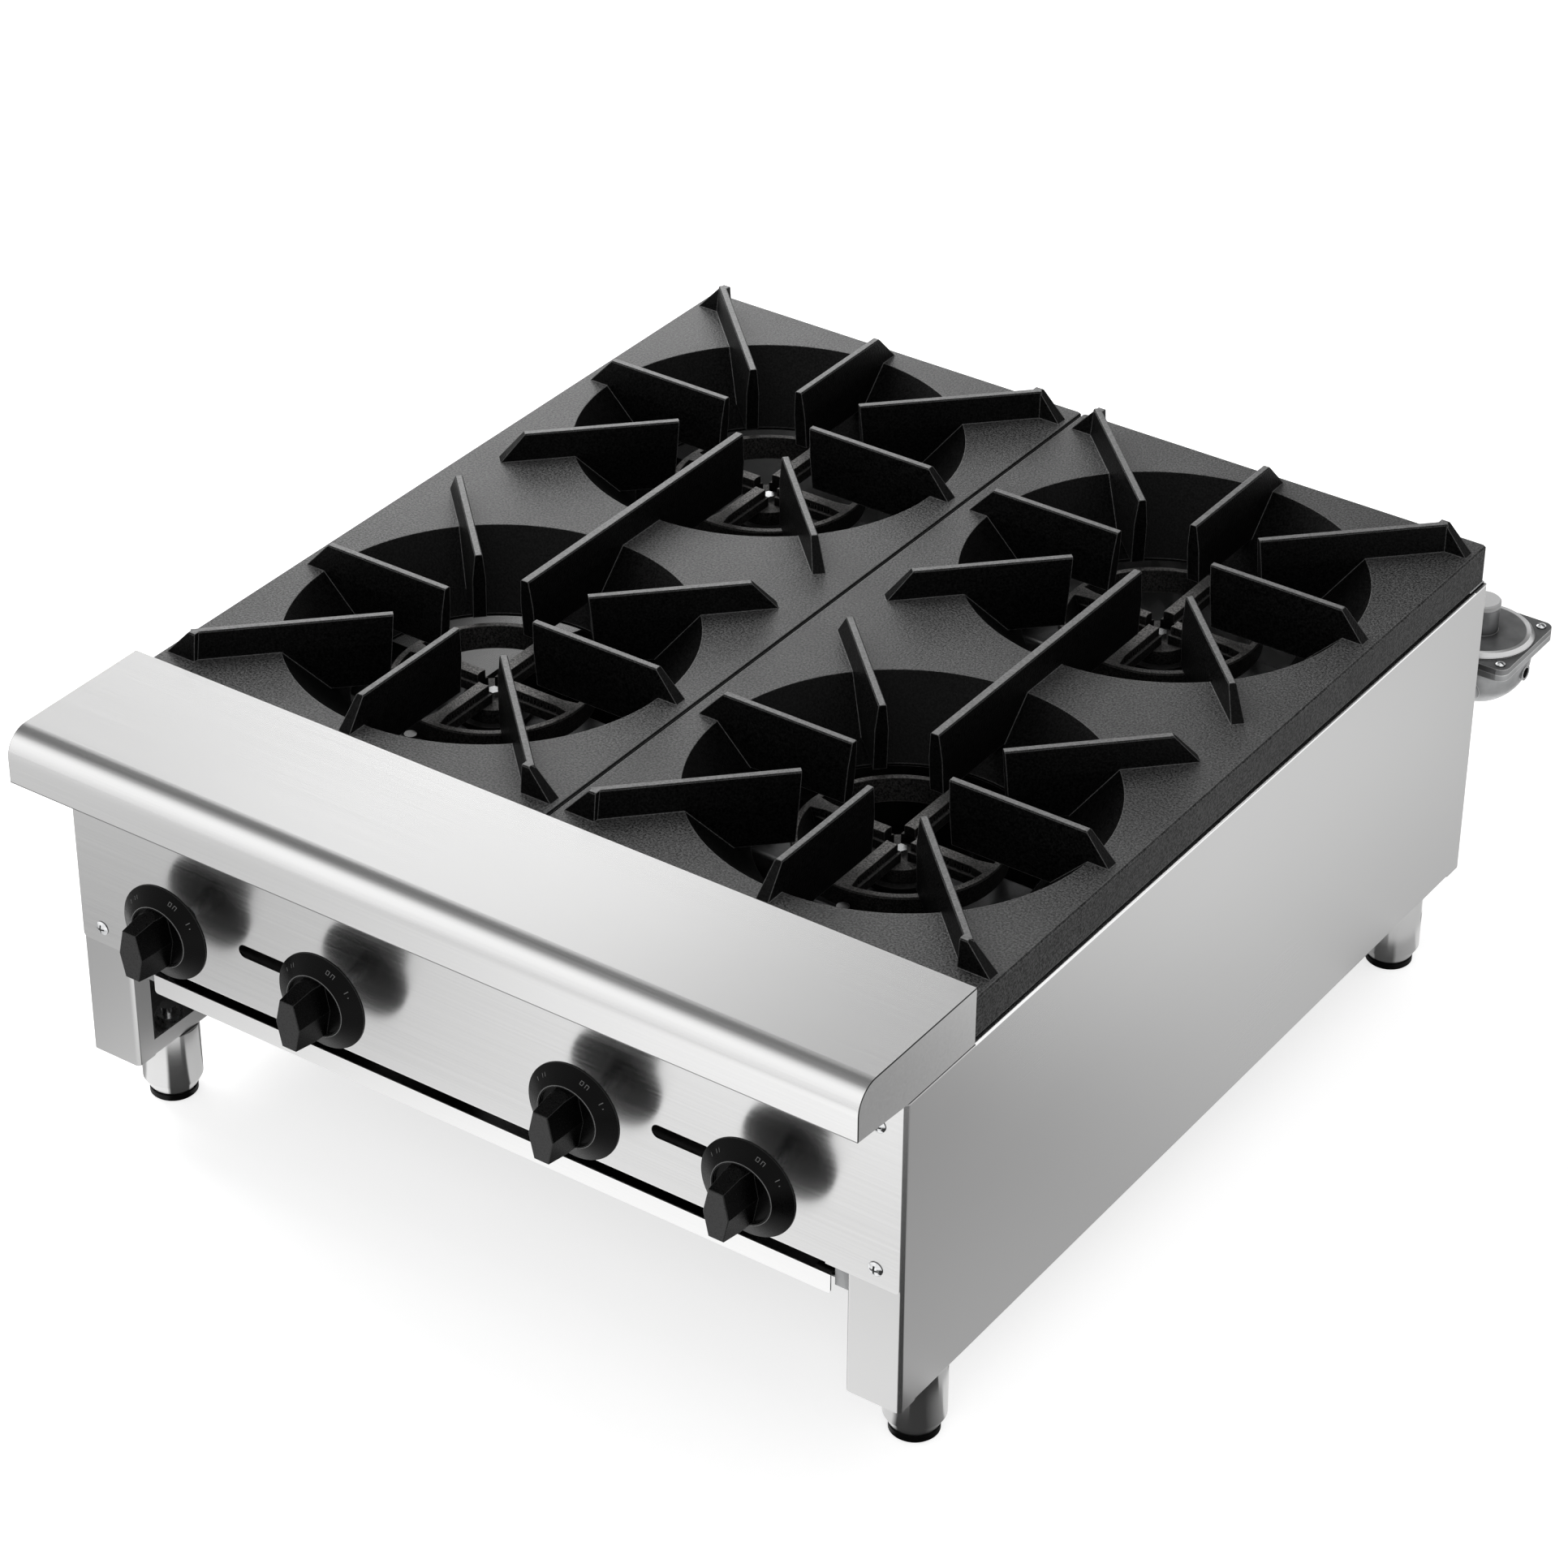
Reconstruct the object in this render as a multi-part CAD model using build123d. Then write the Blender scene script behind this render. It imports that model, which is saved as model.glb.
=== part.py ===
from build123d import *
import math
import os

# Countertop gas range with four open burners, all lengths in mm.
# X is the width, +Y goes to the back and +Z is up; the floor is z = 0.
# The parts are drawn with y = 0 at the front of the side walls and moved
# to the middle of the whole range as they are written.

# body sheet metal
body_width = 609.6
body_bottom = 53.0
body_height = 220.4
sheet = 1.2
bend = 1.6
edge_bend = 0.4
flange_face_y = -4.0
front_flange = 37.8
front_return = 15.5
bottom_lip = 12.0
top_flange = 14.0
rear_flange = 20.0
window_drop = 24.6
window_height = 55.0
seat_gap = 0.3
hole_fit = 0.2

# front ledge
ledge_rise = 39.3
ledge_gap = 0.9
ledge_back_y = 63.5
ledge_depth = 116.4
ledge_nose_radius = 17.0
ledge_lip_rise = 4.4
ledge_sheet = 1.5
ledge_underside = 64.9

# control panel
panel_inset = 1.8
panel_height = 133.1
panel_corner = 3.0
panel_return = 12.0
panel_bend = 0.8
slot_drop = 91.3
slot_height = 9.4
slot_length = 42.3
pair_offset = 1.3
stem_hole_r = 7.0
screw_inset = 16.0
screw_up = 11.9
screw_down = 20.3
screw_r = 2.0
screw_head_r = 4.8
screw_head_h = 2.4
screw_length = 9.0

# knobs, stems and valves
knob_pitch = 121.7
knob_drop = 82.9
knob_back_gap = 19.8
skirt_r = 32.2
skirt_rim = 1.2
skirt_depth = 8.0
ring_r = 21.0
ring_width = 1.3
dish_depth = 2.0
knob_wall = 2.2
knob_hub_r = 8.0
knob_hub_back = 4.0
knob_depth = 32.5
grip_face_w = 10.2
grip_mid_w = 17.6
grip_face_h = 33.0
grip_base_w = 13.0
grip_base_mid = 21.0
grip_base_h = 41.0
grip_edge = 0.5
stem_r = 3.1
stem_flat = 1.0
stem_fit = 0.05
stem_reach = 22.0
stem_in_valve = 13.0
valve_ahead = 26.0
valve_behind = 18.0
valve_r = 12.0
valve_tail = 18.0
valve_nose_r = 8.5
valve_nose = 9.0
valve_shank_r = 7.0
valve_nut_r = 10.0
valve_nut_h = 6.0
hood_r = 6.5
hood_length = 12.0
hood_nut = 5.0
hood_nut_r = 7.5
hood_taper = 3.0

# gas line
pipe_r = 13.35
pipe_bore = 10.4
gas_drop = 32.5
manifold_over = 31.5
manifold_plug = 6.0
supply_inset = 36.7
elbow_r = 17.0
elbow_arm = 25.0
coupling_length = 14.0
thread_fit = 0.05
clamp_x = 36.0
clamp_sheet = 2.0
clamp_width = 22.0
clamp_rise = 30.0
pilot_spacing = 13.4
pilot_nut_r = 4.5
pilot_barrel_r = 3.6
pilot_body_h = 11.0
pilot_barrel = 16.0
pilot_tail = 10.0
pilot_screw_r = 2.2
pilot_screw = 6.0
pilot_tube_r = 1.6
pilot_run_drop = 22.5
pilot_clear = 7.0
rear_pilot_angle = 54.0
pilot_tip_drop = 6.5
pilot_tip_r = 4.0
pilot_tip_h = 9.0

# burners
burner_front_space = 155.7
burner_pitch_y = 300.4
burner_back_space = 149.9
head_gap = 23.0
head_drop = 34.2
head_height = 14.0
head_band = 4.5
head_band_low = 9.0
head_bevel = 0.8
arm_w = 7.6
arm_w_low = 11.0
arm_top_h = 6.0
arm_start = 10.0
arm_flare = 13.0
arm_flare_run = 12.0
hub_r = 19.0
hub_drop = 12.5
hub_height = 10.0
port_count = 6
port_pitch = 5.2
port_start = 25.0
port_width = 1.5
port_depth = 2.4
port_cut = 3.2
mixer_r = 14.0
mixer_wall = 1.8
mixer_bend = 28.0
mixer_gap = 8.0
mixer_lead = 48.0
rear_mixer_turn = 120.0
bell_r = 19.0
bell_rim = 6.0
bell_length = 26.0
mouth_depth = 40.0
shutter_wall = 1.2
shutter_depth = 10.0
shutter_fit = 0.2
shutter_window = 7.0
riser_flange_r = 24.0
riser_flange_h = 4.0
bar_half_y = 32.0
bar_height = 18.0
bar_lip = 12.0
bar_sheet = 1.5
bar_clear = 1.0
bolt_r = 3.0
bolt_head_r = 4.25
bolt_head_h = 3.5
bolt_length = 16.0

# cast grates
grate_inset = 1.5
grate_seam = 0.4
grate_clear = 0.8
band_gap = 3.4
band_height = 25.9
band_thick = 5.0
plate_thick = 5.0
plate_edge = 1.2
grate_corner = 3.0
bowl_margin = 20.4
bowl_depth = 41.5
bowl_foot = 2.0
cone_wall = 4.0
finger_rise = 18.8
finger_w = 5.0
finger_w_low = 8.6
finger_chamfer = 0.7
finger_root = 2.0
finger_run = 18.8
foot_margin = 4.6
diagonal_foot = 32.5
end_lean = 4.0
cardinal_in = 34.0
cardinal_drop = 24.2
diagonal_in = 60.5
diagonal_drop = 29.2

# cross rails behind the ledge and at the back
rail_inset = 15.5
rail_shelf = 20.5
rail_height = 40.5
rail_foot = 12.0
rear_overhang = 2.5
rear_panel_lift = 13.2
rear_shelf = 20.0
pipe_hole_gap = 7.65

# drip tray and its runners
tray_side_gap = 14.3
tray_gap_above = 13.0
tray_height = 13.6
tray_face_y = 1.0
tray_back_gap = 32.8
tray_rim = 12.5
tray_sheet = 1.0
tray_bend = 1.3
tray_face_corner = 2.3
slide_gap = 0.3
runner_shelf = 12.2
runner_bend = 0.6
runner_above = 13.9
tab_height = 7.8
tab_lap = 16.0
tab_y = 3.6

# legs and feet
leg_inset = 20.4
leg_front_inset = 48.2
leg_back_inset = 51.0
leg_r = 19.3
leg_taper_z = 13.5
leg_low_r = 14.8
leg_stud_r = 5.0
leg_stud = 13.0
bore_cover = 8.0
nut_af = 16.0
nut_h = 6.0
foot_r = 15.6
foot_h = 4.5
foot_bevel = 0.8
foot_stud_r = 6.0
foot_fit = 0.06
foot_stud_gap = 3.0

# regulator at the back
reg_gap = 42.0
reg_flange = 36.6
reg_corner = 7.0
reg_flange_up = 17.5
reg_half_flange = 4.5
reg_dome_r = 35.5
reg_dome_h = 3.5
reg_dome_slope = 2.6
reg_tower_r = 11.0
reg_tower_h = 22.0
reg_cap_r = 11.4
reg_cap_h = 4.0
reg_cap_edge = 1.0
reg_bowl_r = 34.9
reg_bowl_wall = 4.7
reg_port_r = 15.6
reg_port_depth = 21.0
reg_grip = 9.6
vent_drop = 10.5
vent_r = 5.5
vent_bore = 3.8
vent_depth = 7.0
reg_screw = 29.6
reg_screw_r = 2.0
reg_screw_head = 3.3
reg_screw_head_h = 2.2

# places across the width
body_half = body_width / 2
front_flange_inner = body_half - front_flange
panel_half = body_half - panel_inset
screw_x = panel_half - screw_inset
leg_x = body_half - leg_inset
supply_x = body_half - supply_inset
rear_half = body_half - sheet - edge_bend - hole_fit
rail_half = body_half - sheet - seat_gap
burner_x = body_half / 2
pair_centre_x = burner_x + pair_offset
knob_xs = (-pair_centre_x - knob_pitch / 2, -pair_centre_x + knob_pitch / 2,
           pair_centre_x - knob_pitch / 2, pair_centre_x + knob_pitch / 2)
grate_outer = body_half - grate_inset
bowl_r = grate_outer - burner_x - bowl_margin
bowl_low_r = bowl_r - bowl_depth
head_r = bowl_low_r - head_gap
cardinal_out = grate_outer - burner_x - foot_margin - finger_run
diagonal_out = bowl_r + diagonal_foot
tray_half = front_flange_inner - tray_side_gap
tray_pan_half = tray_half - tray_rim
runner_wall_x = tray_half + sheet + seat_gap
shelf_inner = runner_wall_x + sheet - runner_shelf
panel_return_half = runner_wall_x - 1

# places from front to back
panel_face_y = flange_face_y - sheet
front_return_y = flange_face_y + front_return
ledge_front_y = ledge_back_y - ledge_depth
ledge_under_y = ledge_front_y + ledge_underside
rail_front_y = ledge_back_y - rail_inset
rail_back_y = ledge_back_y + rail_shelf
manifold_y = rail_front_y - clamp_sheet / 2 - pipe_r
valve_front_y = manifold_y - valve_ahead
valve_back_y = manifold_y + valve_behind
mixer_front_y = valve_back_y + mixer_gap
grate_front_y = ledge_back_y + grate_clear
front_burner_y = grate_front_y + burner_front_space
burner_ys = (front_burner_y, front_burner_y + burner_pitch_y)
grate_back_y = burner_ys[1] + burner_back_space
wall_back_y = grate_back_y + rear_overhang
tray_back_y = wall_back_y - tray_back_gap
leg_ys = (flange_face_y + leg_front_inset, wall_back_y - leg_back_inset)
reg_y = wall_back_y + reg_gap + reg_flange
nipple_end_y = reg_y - reg_flange + reg_grip
knob_base_y = panel_face_y - knob_back_gap
front_y = min(knob_base_y - knob_depth, ledge_front_y)
back_y = reg_y + reg_flange
middle_y = (front_y + back_y) / 2

# heights
body_top = body_bottom + body_height
ledge_low = body_top + ledge_gap
ledge_top = body_top + ledge_rise
panel_bottom = body_top - panel_height
slot_z = body_top - slot_drop
knob_z = body_top - knob_drop
gas_z = knob_z - gas_drop
screw_zs = (panel_bottom + screw_up, body_top - screw_down)
band_bottom = body_top + band_gap
rest_top = band_bottom - seat_gap
plate_top = band_bottom + band_height
finger_top = plate_top + finger_rise
cardinal_bottom = plate_top - cardinal_drop
diagonal_bottom = plate_top - diagonal_drop
rail_bottom = rest_top - rail_height
head_top = plate_top - head_drop
hub_top = head_top - hub_drop
hub_bottom = hub_top - hub_height
bar_top = hub_bottom - riser_flange_h
pilot_run_z = knob_z - pilot_run_drop
pilot_tip_low = head_top - pilot_tip_drop - pilot_tip_h
tray_high = panel_bottom - tray_gap_above
tray_low = tray_high - tray_height
runner_top = tray_high + runner_above
tab_low = tray_high - tab_height
leg_low_z = foot_h + seat_gap
leg_stud_top = body_bottom + leg_stud
foot_bore_top = body_bottom - bore_cover
foot_stud_top = foot_bore_top - foot_stud_gap
reg_flange_low = gas_z + reg_flange_up
reg_seam_z = reg_flange_low + reg_half_flange
reg_flange_top = reg_seam_z + reg_half_flange

# cuts run past the faces that they go through by this much
over = 1.0

os.makedirs("parts", exist_ok=True)


def save(name, shape):
    export_step(Pos(0, -middle_y, 0) * shape, f"parts/{name}.step")


def joined(shapes):
    total = None
    for shape in shapes:
        total = shape if total is None else total + shape
    return total


def strip(points, thick, inner):
    """Section of a bent sheet: its face runs along points, its metal lies to the left."""
    pts = [Vector(*p) for p in points]
    dirs = [(b - a).normalized() for a, b in zip(pts, pts[1:])]
    left = [pts[0] + Vector(-dirs[0].Y, dirs[0].X) * thick]
    turns = []
    for i in range(1, len(pts) - 1):
        a, b = dirs[i - 1], dirs[i]
        na, nb = Vector(-a.Y, a.X), Vector(-b.Y, b.X)
        mid = (na + nb) / (1 + na.dot(nb))
        left.append(pts[i] + mid * thick)
        turns.append(a.X * b.Y - a.Y * b.X > 0)
    left.append(pts[-1] + Vector(-dirs[-1].Y, dirs[-1].X) * thick)
    face = make_face(Polyline(*pts, *reversed(left), close=True))
    for radius, on_left in ((inner, True), (inner + thick, False)):
        spots = []
        for i, to_left in enumerate(turns, start=1):
            spots.append(left[i] if to_left == on_left else pts[i])
        picked = [face.vertices().sort_by_distance(s)[0] for s in spots]
        face = fillet(picked, radius)
    return face


def along_x(section, x0, x1):
    return extrude(Plane.YZ.offset(x0) * section, x1 - x0)


def along_y(section, y0, y1):
    return extrude(Plane.XZ.offset(-y1) * section, y1 - y0)


def along_z(section, z0, z1):
    return extrude(Pos(0, 0, z0) * section, z1 - z0)


def block(x0, x1, y0, y1, z0, z1):
    return Pos((x0 + x1) / 2, (y0 + y1) / 2, (z0 + z1) / 2) * Box(x1 - x0, y1 - y0, z1 - z0)


def rod(x, y, z0, z1, r):
    return Pos(x, y, (z0 + z1) / 2) * Cylinder(r, z1 - z0)


def rod_y(x, z, y0, y1, r):
    return Pos(x, (y0 + y1) / 2, z) * Rot(90, 0, 0) * Cylinder(r, y1 - y0)


def rod_x(y, z, x0, x1, r):
    return Pos((x0 + x1) / 2, y, z) * Rot(0, 90, 0) * Cylinder(r, x1 - x0)


def turned(points):
    """Solid of revolution about Z from (radius, height) points."""
    return revolve(Plane.XZ * make_face(Polyline(*points, close=True)), Axis.Z)


def facing_back(x, y, z, shape):
    """A turned shape whose axis is laid along +Y from the given point."""
    return Pos(x, y, z) * Rot(-90, 0, 0) * shape


def piped(points, radius, r, sides=0):
    """Rod or tube core along points, with a true arc of the given radius at each corner."""
    pts = [Vector(*p) for p in points]
    dirs = [(b - a).normalized() for a, b in zip(pts, pts[1:])]
    across = dirs[0].cross(Vector(0, 0, 1) if abs(dirs[0].Z) < 0.9 else Vector(1, 0, 0))
    section = RegularPolygon(r, sides) if sides else Circle(r)
    start = pts[0]
    solid = None
    for i, ahead in enumerate(dirs):
        frame = Plane(origin=start, x_dir=across, z_dir=ahead)
        turn = ahead.get_angle(dirs[i + 1]) if i + 1 < len(dirs) else 0
        trim = radius * math.tan(math.radians(turn / 2))
        end = pts[i + 1] - ahead * trim
        run = extrude(frame * section, (end - start).length)
        solid = run if solid is None else solid + run
        if turn:
            side = (dirs[i + 1] - ahead * ahead.dot(dirs[i + 1])).normalized()
            hinge = Axis(end + side * radius, ahead.cross(side))
            face = Plane(origin=end, x_dir=across, z_dir=ahead) * section
            solid = solid + revolve(face, axis=hinge, revolution_arc=turn)
            across = across.rotate(Axis((0, 0, 0), ahead.cross(side)), turn)
            start = pts[i + 1] + dirs[i + 1] * trim
    return solid


# side panels: a wall with a broad front flange turned back at its inner edge,
# a lipped flange under it and narrow flanges at the top and the back
def side_panel():
    front = along_z(strip([(front_flange_inner, front_return_y),
                           (front_flange_inner, flange_face_y), (body_half, flange_face_y),
                           (body_half, front_return_y)], sheet, bend), body_bottom, body_top)
    corner = sheet + edge_bend
    wall = block(body_half - sheet, body_half, front_return_y, wall_back_y - corner,
                 body_bottom + corner, body_top - corner)
    low = strip([(front_flange_inner, body_bottom + bottom_lip), (front_flange_inner, body_bottom),
                 (body_half, body_bottom), (body_half, body_bottom + bottom_lip)],
                sheet, edge_bend)
    high = strip([(body_half, body_top - top_flange), (body_half, body_top),
                  (body_half - top_flange, body_top)], sheet, edge_bend)
    rear = along_z(strip([(body_half, wall_back_y - front_return), (body_half, wall_back_y),
                          (body_half - rear_flange, wall_back_y)], sheet, edge_bend),
                   body_bottom, body_top)
    under_ledge = block(body_half - sheet, body_half, front_return_y, ledge_back_y + over,
                        body_top - top_flange, body_top)
    panel = front + wall + along_y(low, flange_face_y + bend + sheet, wall_back_y - corner)
    panel = panel + along_y(high, ledge_back_y + seat_gap, wall_back_y - 2 * sheet - seat_gap)
    panel = panel + rear + under_ledge
    for z in screw_zs:
        panel = panel - rod_y(screw_x, z, flange_face_y - over, flange_face_y + sheet + over,
                              screw_r + hole_fit)
    for y in leg_ys:
        panel = panel - rod(leg_x, y, body_bottom - over, body_bottom + sheet + over,
                            leg_stud_r + hole_fit)
    return panel


right_side = side_panel()
window_high = body_top - window_drop
window = block(body_half - rear_flange - over, body_half - edge_bend - sheet,
               wall_back_y - sheet - over, wall_back_y + over, window_high - window_height,
               window_high)
save("side_panel_right", right_side - window)
save("side_panel_left", mirror(right_side, about=Plane.YZ))

# rear panel with the shelf that carries the back of the grates
rear_face_y = wall_back_y - sheet
rear_section = strip([(rear_face_y, body_bottom + rear_panel_lift), (rear_face_y, rest_top),
                      (rear_face_y - rear_shelf, rest_top)], sheet, bend)
rear_panel = along_x(rear_section, -rear_half, rear_half)
rear_panel = rear_panel - rod_y(supply_x, gas_z, rear_face_y - sheet - over, wall_back_y + over,
                                pipe_r + pipe_hole_gap)
save("rear_panel", rear_panel)

# control panel laid over the front flanges, turned back along its lower edge
panel_back_y = panel_face_y + sheet
panel_section = strip([(panel_face_y, body_top), (panel_face_y, panel_bottom),
                       (flange_face_y + panel_return, panel_bottom)], sheet, panel_bend)
panel_plate = along_x(panel_section, -panel_return_half, panel_return_half)
outline = Pos(0, (panel_bottom + body_top) / 2) * Rectangle(2 * panel_half, panel_height)
outline = fillet(outline.vertices().sort_by(Axis.Y)[0:2], panel_corner)
face_sheet = along_y(outline, panel_face_y, panel_back_y)
face_sheet = face_sheet - block(-panel_return_half, panel_return_half, panel_face_y - over,
                                panel_back_y, panel_bottom - over,
                                panel_bottom + 2 * (sheet + panel_bend))
control_panel = panel_plate + face_sheet
for x in knob_xs:
    control_panel = control_panel - rod_y(x, knob_z, panel_face_y - over, panel_back_y + over,
                                          stem_hole_r)
for x in (-pair_centre_x, pair_centre_x):
    slot = Pos(x, slot_z) * SlotOverall(slot_length, slot_height)
    control_panel = control_panel - along_y(slot, panel_face_y - over, panel_back_y + over)
for x in (-screw_x, screw_x):
    for z in screw_zs:
        control_panel = control_panel - rod_y(x, z, panel_face_y - over, panel_back_y + over,
                                              screw_r + hole_fit)
save("control_panel", control_panel)


def round_head_screw(x, z):
    shape = turned([(0, -screw_length), (screw_r, -screw_length), (screw_r, 0), (screw_head_r, 0),
                    (screw_head_r * 0.75, screw_head_h * 0.8), (0, screw_head_h)])
    return Pos(x, panel_face_y, z) * Rot(90, 0, 0) * shape


save("panel_screws", joined(round_head_screw(x, z) for x in (-screw_x, screw_x) for z in screw_zs))

# front ledge with a rounded nose, an underside that rises to the lip and is open at the
# back, and end caps
ledge_shape = make_face(Polyline((ledge_front_y, ledge_low + ledge_lip_rise),
                                 (ledge_front_y, ledge_top), (ledge_back_y, ledge_top),
                                 (ledge_back_y, ledge_low), (panel_face_y, ledge_low), close=True))
nose = ledge_shape.vertices().sort_by_distance((ledge_front_y, ledge_top, 0))[0]
ledge_shape = fillet([nose], ledge_nose_radius)
inside = offset(ledge_shape, -ledge_sheet, kind=Kind.INTERSECTION)
ledge_inner = body_half - ledge_sheet
ledge = along_x(ledge_shape, -body_half, body_half)
ledge = ledge - along_x(inside, -ledge_inner, ledge_inner)
ledge = ledge - block(-ledge_inner, ledge_inner, ledge_under_y, ledge_back_y - ledge_sheet,
                      ledge_low - over, ledge_low + ledge_sheet + over)
ledge = ledge - block(-ledge_inner, ledge_inner, ledge_back_y - ledge_sheet - over,
                      ledge_back_y + over, ledge_low - over, band_bottom + seat_gap)
save("front_ledge", ledge)

# cross rail under the back of the ledge; it carries the front of the grates
rail_section = strip([(rail_back_y, rest_top), (rail_front_y, rest_top),
                      (rail_front_y, rail_bottom), (rail_front_y + rail_foot, rail_bottom)],
                     ledge_sheet, bend)
front_rail = along_x(rail_section, -rail_half, rail_half)
flange_clear = body_half - top_flange - over
for s in (-1, 1):
    a, b = sorted((s * flange_clear, s * body_half))
    front_rail = front_rail - block(a, b, rail_front_y - over, rail_back_y + over,
                                    body_top - sheet - edge_bend - over, rest_top + over)
save("front_rail", front_rail)


# cast grates: a drafted frame, two conical bowls and eight fingers to each bowl
def finger(profile, width_top, width_low, angle, cx, cy):
    side = along_y(make_face(Polyline(*profile, close=True)), -width_low, width_low)
    half_top, half_low = width_top / 2, width_low / 2
    cut = finger_chamfer
    low = min(p[1] for p in profile) - over
    cross = make_face(Polyline((-half_top + cut, finger_top), (half_top - cut, finger_top),
                               (half_top, finger_top - cut), (half_low, plate_top),
                               (half_low, low), (-half_low, low), (-half_low, plate_top),
                               (-half_top, finger_top - cut), close=True))
    reach = max(p[0] for p in profile) + over
    return Pos(cx, cy, 0) * Rot(0, 0, angle) * (side & along_x(cross, -reach, reach))


def spoke(r_in, r_out, bottom, foot=True):
    cone_in = bowl_r - (plate_top - bottom) + cone_wall
    root = plate_top - finger_root
    end = [(r_out + finger_run, root) if foot else (r_out, root), (r_out, finger_top)]
    return [(r_in, finger_top), (r_in + end_lean, bottom), (cone_in, bottom),
            (bowl_r + finger_root, root)] + end


def grate():
    x0, x1 = grate_seam, grate_outer
    outline = Pos((x0 + x1) / 2, (grate_front_y + grate_back_y) / 2) * RectangleRounded(
        x1 - x0, grate_back_y - grate_front_y, grate_corner)
    solid = along_z(outline, band_bottom, plate_top)
    solid = chamfer(solid.faces().sort_by(Axis.Z)[-1].outer_wire().edges(), plate_edge)
    solid = solid - block(x0 + band_thick, x1 - band_thick, grate_front_y + band_thick,
                          grate_back_y - band_thick, band_bottom - over, plate_top - plate_thick)
    bowl_low = plate_top - bowl_depth - bowl_foot
    rim_r = bowl_r + cone_wall + over
    bowl = turned([(bowl_r, plate_top), (bowl_low_r, plate_top - bowl_depth),
                   (bowl_low_r, bowl_low), (bowl_low_r + cone_wall, bowl_low),
                   (rim_r, plate_top - plate_thick), (rim_r, plate_top)])
    front, back = burner_ys
    for y in burner_ys:
        solid = solid - rod(burner_x, y, band_bottom, plate_top + over, bowl_r)
        solid = solid + Pos(burner_x, y, 0) * bowl
    across = spoke(cardinal_in, cardinal_out, cardinal_bottom)
    toward = spoke(diagonal_in, diagonal_out, diagonal_bottom)
    corner = spoke(diagonal_in, bowl_r * math.sqrt(2), diagonal_bottom, foot=False)
    root = plate_top - finger_root
    ramp = [(bowl_r - band_thick, root), (bowl_r + finger_run, root), (bowl_r, finger_top),
            (bowl_r - band_thick, finger_top)]
    webs = []
    for y in burner_ys:
        out = 1 if y == back else -1
        for angle in (0, 180, 90 * out):
            webs.append(finger(across, finger_w, finger_w_low, angle, burner_x, y))
        for angle in (-45 * out, 180 + 45 * out):
            webs.append(finger(toward, finger_w, finger_w_low, angle, burner_x, y))
        for turn in (0, 180):
            diagonal = 45 * out if turn == 0 else 180 - 45 * out
            webs.append(finger(corner, finger_w, finger_w_low, diagonal, burner_x, y))
            webs.append(finger(ramp, finger_w, finger_w_low, turn, burner_x, y + out * bowl_r))
    span = back - front
    bridge = [(cardinal_in, finger_top), (cardinal_in + end_lean, cardinal_bottom),
              (span - cardinal_in - end_lean, cardinal_bottom), (span - cardinal_in, finger_top)]
    webs.append(finger(bridge, finger_w + over, finger_w_low + over, 90, burner_x, front))
    for web in webs:
        solid = solid + web
    return solid


right_grate = grate()
save("grate_right", right_grate)
save("grate_left", mirror(right_grate, about=Plane.YZ))


# burner heads: a ring and four arms round a sunken hub, with sawn flame ports
def head():
    low = head_top - head_height
    arm_low_top = head_top - arm_top_h
    ring = turned([(head_r - head_band, head_top), (head_r - head_bevel, head_top),
                   (head_r, head_top - head_bevel), (head_r - head_bevel, low),
                   (head_r - head_band_low, low)])
    arm_end = head_r - head_band / 2
    half = arm_w / 2
    top = make_face(Polyline((0, -half), (arm_end - arm_flare_run, -half),
                             (arm_end, -arm_flare / 2), (arm_end, arm_flare / 2),
                             (arm_end - arm_flare_run, half), (0, half), close=True))
    arm = along_z(top, arm_low_top, head_top)
    arm = arm + block(0, head_r - head_band, -arm_w_low / 2, arm_w_low / 2, hub_top, arm_low_top)
    for i in range(port_count):
        x = port_start + i * port_pitch
        arm = arm - Pos(x, 0, head_top - port_depth - port_cut / 2) * Box(port_width, 2 * arm_w,
                                                                          port_cut)
    solid = ring + rod(0, 0, hub_bottom, hub_top, hub_r)
    for i in range(4):
        solid = solid + Rot(0, 0, 90 * i) * arm
    solid = solid - rod(0, 0, hub_bottom - over, hub_top + over, bolt_r + stem_fit)
    return solid - rod(0, 0, hub_top, head_top + over, arm_start)


burner_head = head()
burner_spots = [(sx * burner_x, y) for y in burner_ys for sx in (-1, 1)]
burner_names = ("front_left", "front_right", "rear_left", "rear_right")
for name, (x, y) in zip(burner_names, burner_spots):
    save(f"burner_head_{name}", Pos(x, y, 0) * burner_head)


# mixing tubes: a belled mouth behind each valve, a bent pipe and a riser below the head
def mixer(valve_x, cx, cy, turn_y):
    run = [(valve_x, mixer_front_y, knob_z), (valve_x, turn_y, knob_z), (cx, cy, knob_z),
           (cx, cy, hub_bottom)]
    bell = turned([(0, 0), (bell_r, 0), (bell_r, bell_rim), (mixer_r, bell_length),
                   (0, bell_length)])
    mouth_r = bell_r - mixer_wall
    bore_r = mixer_r - mixer_wall
    mouth = turned([(0, -over), (mouth_r, -over), (mouth_r, bell_rim), (bore_r, bell_length),
                    (bore_r, mouth_depth), (0, mouth_depth)])
    collar = rod(cx, cy, hub_bottom - riser_flange_h, hub_bottom, riser_flange_r)
    tube = piped(run, mixer_bend, mixer_r) + collar
    tube = tube + facing_back(valve_x, mixer_front_y, knob_z, bell)
    tube = tube - facing_back(valve_x, mixer_front_y, knob_z, mouth)
    return tube - rod(cx, cy, hub_top - bolt_length - over, hub_bottom + over, bolt_r + thread_fit)


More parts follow.
